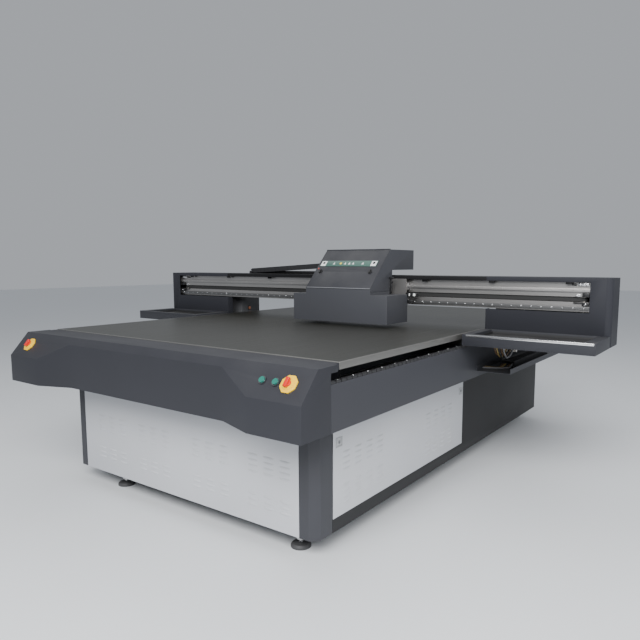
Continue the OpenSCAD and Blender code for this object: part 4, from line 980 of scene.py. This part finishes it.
def add_keypad():
    """A teal membrane with generic icons on the lid's raised plate, and a light strip along the lid's lower
    edge as a painted highlight.
    """
    normal = Matrix.Translation((hood_lo.x, box_lo.y, 1.199)) @ Matrix.Rotation(math.radians(46.01), 4, "X")
    left, right = 0.019, hood_hi.x - hood_lo.x - 0.043
    bm = bmesh.new()
    slab(bm, (left, 0.201, 0.0015), (right, 0.253, 0.0024), normal)
    finished("keypad_membrane", bm, KEYPAD_TEAL, "hood_lid", bevel=0.0004)
    bm = bmesh.new()
    squares = (left + 0.024, right - 0.026)
    for x in squares:
        slab(bm, (x - 0.021, 0.204, 0.0024), (x + 0.021, 0.249, 0.0029), normal)
    marks = [left + place for place in (0.112, 0.168, 0.206, 0.240, 0.272, 0.350)]
    for i, x in enumerate(marks):
        if i != 1:
            slab(bm, (x - 0.009, 0.219, 0.0024), (x + 0.009, 0.224, 0.0029), normal)
            slab(bm, (x - 0.003, 0.224, 0.0024), (x + 0.003, 0.236, 0.0029), normal)
    finished("keypad_icons", bm, ICON_WHITE, "hood_lid")
    bm = bmesh.new()
    turned(bm, [(0.009, 0.0024), (0.009, 0.0029), (0, 0.0029)], 16,
           normal @ Matrix.Translation((marks[1], 0.227, 0)))
    finished("keypad_warning_icon", bm, ICON_YELLOW, "hood_lid")
    bm = bmesh.new()
    for x in squares:
        turned(bm, [(0.010, 0.0029), (0.010, 0.0033), (0, 0.0033)], 16,
               normal @ Matrix.Translation((x, 0.232, 0)))
    finished("keypad_sensor_dots", bm, SHADE_AND_DOT_BLACK, "hood_lid")
    # A light strip along the lid's lower edge: a painted highlight.
    bm = bmesh.new()
    slab(bm, (0.004, 0.001, 0), (hood_hi.x - hood_lo.x - 0.004, 0.006, 0.0005), normal)
    finished("lid_hem", bm, PAINTED_EDGE_HIGHLIGHT, "hood_lid")
    bm = bmesh.new()
    turned(bm, [(0.006, 0), (0.006, 0.003), (0.004, 0.0045), (0, 0.0045)], 16,
           normal @ Matrix.Translation((0.020, 0.178, 0)))
    finished("lid_lamp", bm, LAMP_RED, "hood_lid")


def bent_run(name, mesh, node):
    """One run of a chain, which replaces the chain's node."""
    piece = joined(name, [mesh])
    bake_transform(piece)
    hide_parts(node)


def add_long_chain():
    """The energy chain beside the table: lower run, bend and upper run."""
    width, height, radius, pitch = 0.090, 0.045, 0.060, 0.0567
    x, axis_z, fixed, bend, moving = 1.240, 0.7845, 0.149, 0.829, 0.209
    black = FINISHES["chain_plastic"]
    straight = seed_part("long_link", link_builder(pitch, width, height))
    curved = seed_part("long_bend_link", link_builder(radius * math.pi / 4, width, height, upright=True))
    lower = grown(LINE, Count=12, Start=(x, fixed + pitch / 2, axis_z - radius), Step=(0, pitch, 0),
                  Part=straight, Finish=black)
    upper = grown(LINE, Count=11, Start=(x, moving + pitch / 2, axis_z + radius),
                  Step=(0, (bend - moving) / 11, 0), Part=straight, Finish=black)
    round_part = grown(ARC, Matrix.Translation((x, bend, axis_z)), Count=4, Radius=radius,
                       First_Angle=math.radians(-67.5), Sweep=math.radians(135), Part=curved, Finish=black)
    bodies, node = ("base", "gantry"), "y_chain"
    bent_run("long_chain_lower", lower, node)
    bent_run("long_chain_bend", round_part, node)
    bent_run("long_chain_upper", upper, node)


def add_short_chain():
    """The energy chain on the gantry's top, from the sunk channel to the carriage."""
    width, height, radius, pitch = 0.040, 0.038, 0.027, 0.042
    y, axis_z, fixed, bend, moving, rise = 0.210, 1.278, -0.286, -1.000, -0.030, 0.056
    black = FINISHES["chain_plastic"]
    along_x = Matrix.Rotation(math.radians(90), 4, "Z")
    straight = seed_part("short_link", link_builder(pitch, width, height))
    curved = seed_part("short_bend_link", link_builder(radius * math.pi / 4, width, height, upright=True))
    below, above = round((fixed - bend) / pitch), round((moving - bend) / pitch)
    place = Matrix.Translation((bend, y, axis_z))
    step = (fixed - bend) / below
    lower = grown(LINE, place @ Matrix.Translation((0, 0, -radius)) @ along_x.inverted(), Count=below,
                  Start=(0, step / 2, 0), Step=(0, step, 0), Part=straight, Finish=black)
    climb = Matrix.Rotation(-math.atan2(rise, moving - bend), 4, "Y")
    step = (moving - bend) / above
    upper = grown(LINE, place @ Matrix.Translation((0, 0, radius)) @ climb @ along_x.inverted(), Count=above,
                  Start=(0, step / 2, 0), Step=(0, step, 0), Part=straight, Finish=black)
    round_part = grown(ARC, place @ along_x, Count=4, Radius=radius, First_Angle=math.radians(-67.5),
                       Sweep=math.radians(135), Part=curved, Finish=black)
    bodies, node = ("gantry", "carriage"), "x_chain"
    bent_run("short_chain_lower", lower, node)
    bent_run("short_chain_bend", round_part, node)
    bent_run("short_chain_upper", upper, node)


make_camera()
make_studio()
dress_nodes()
soften_sheet_metal()
add_louvres()
add_panel_pulls()
add_bed_holes()
add_slot_strips()
add_slot_shade_sheets()
colour_rails()
add_beam_end_fittings()
add_carriage_fittings()
add_tray_edges()
add_chain_guide()
add_leg_sensor()
add_cables()
add_ink_caps()
add_rear_details()
add_keypad()
add_long_chain()
add_short_chain()
for seed in SEEDS:
    bpy.data.objects.remove(seed)
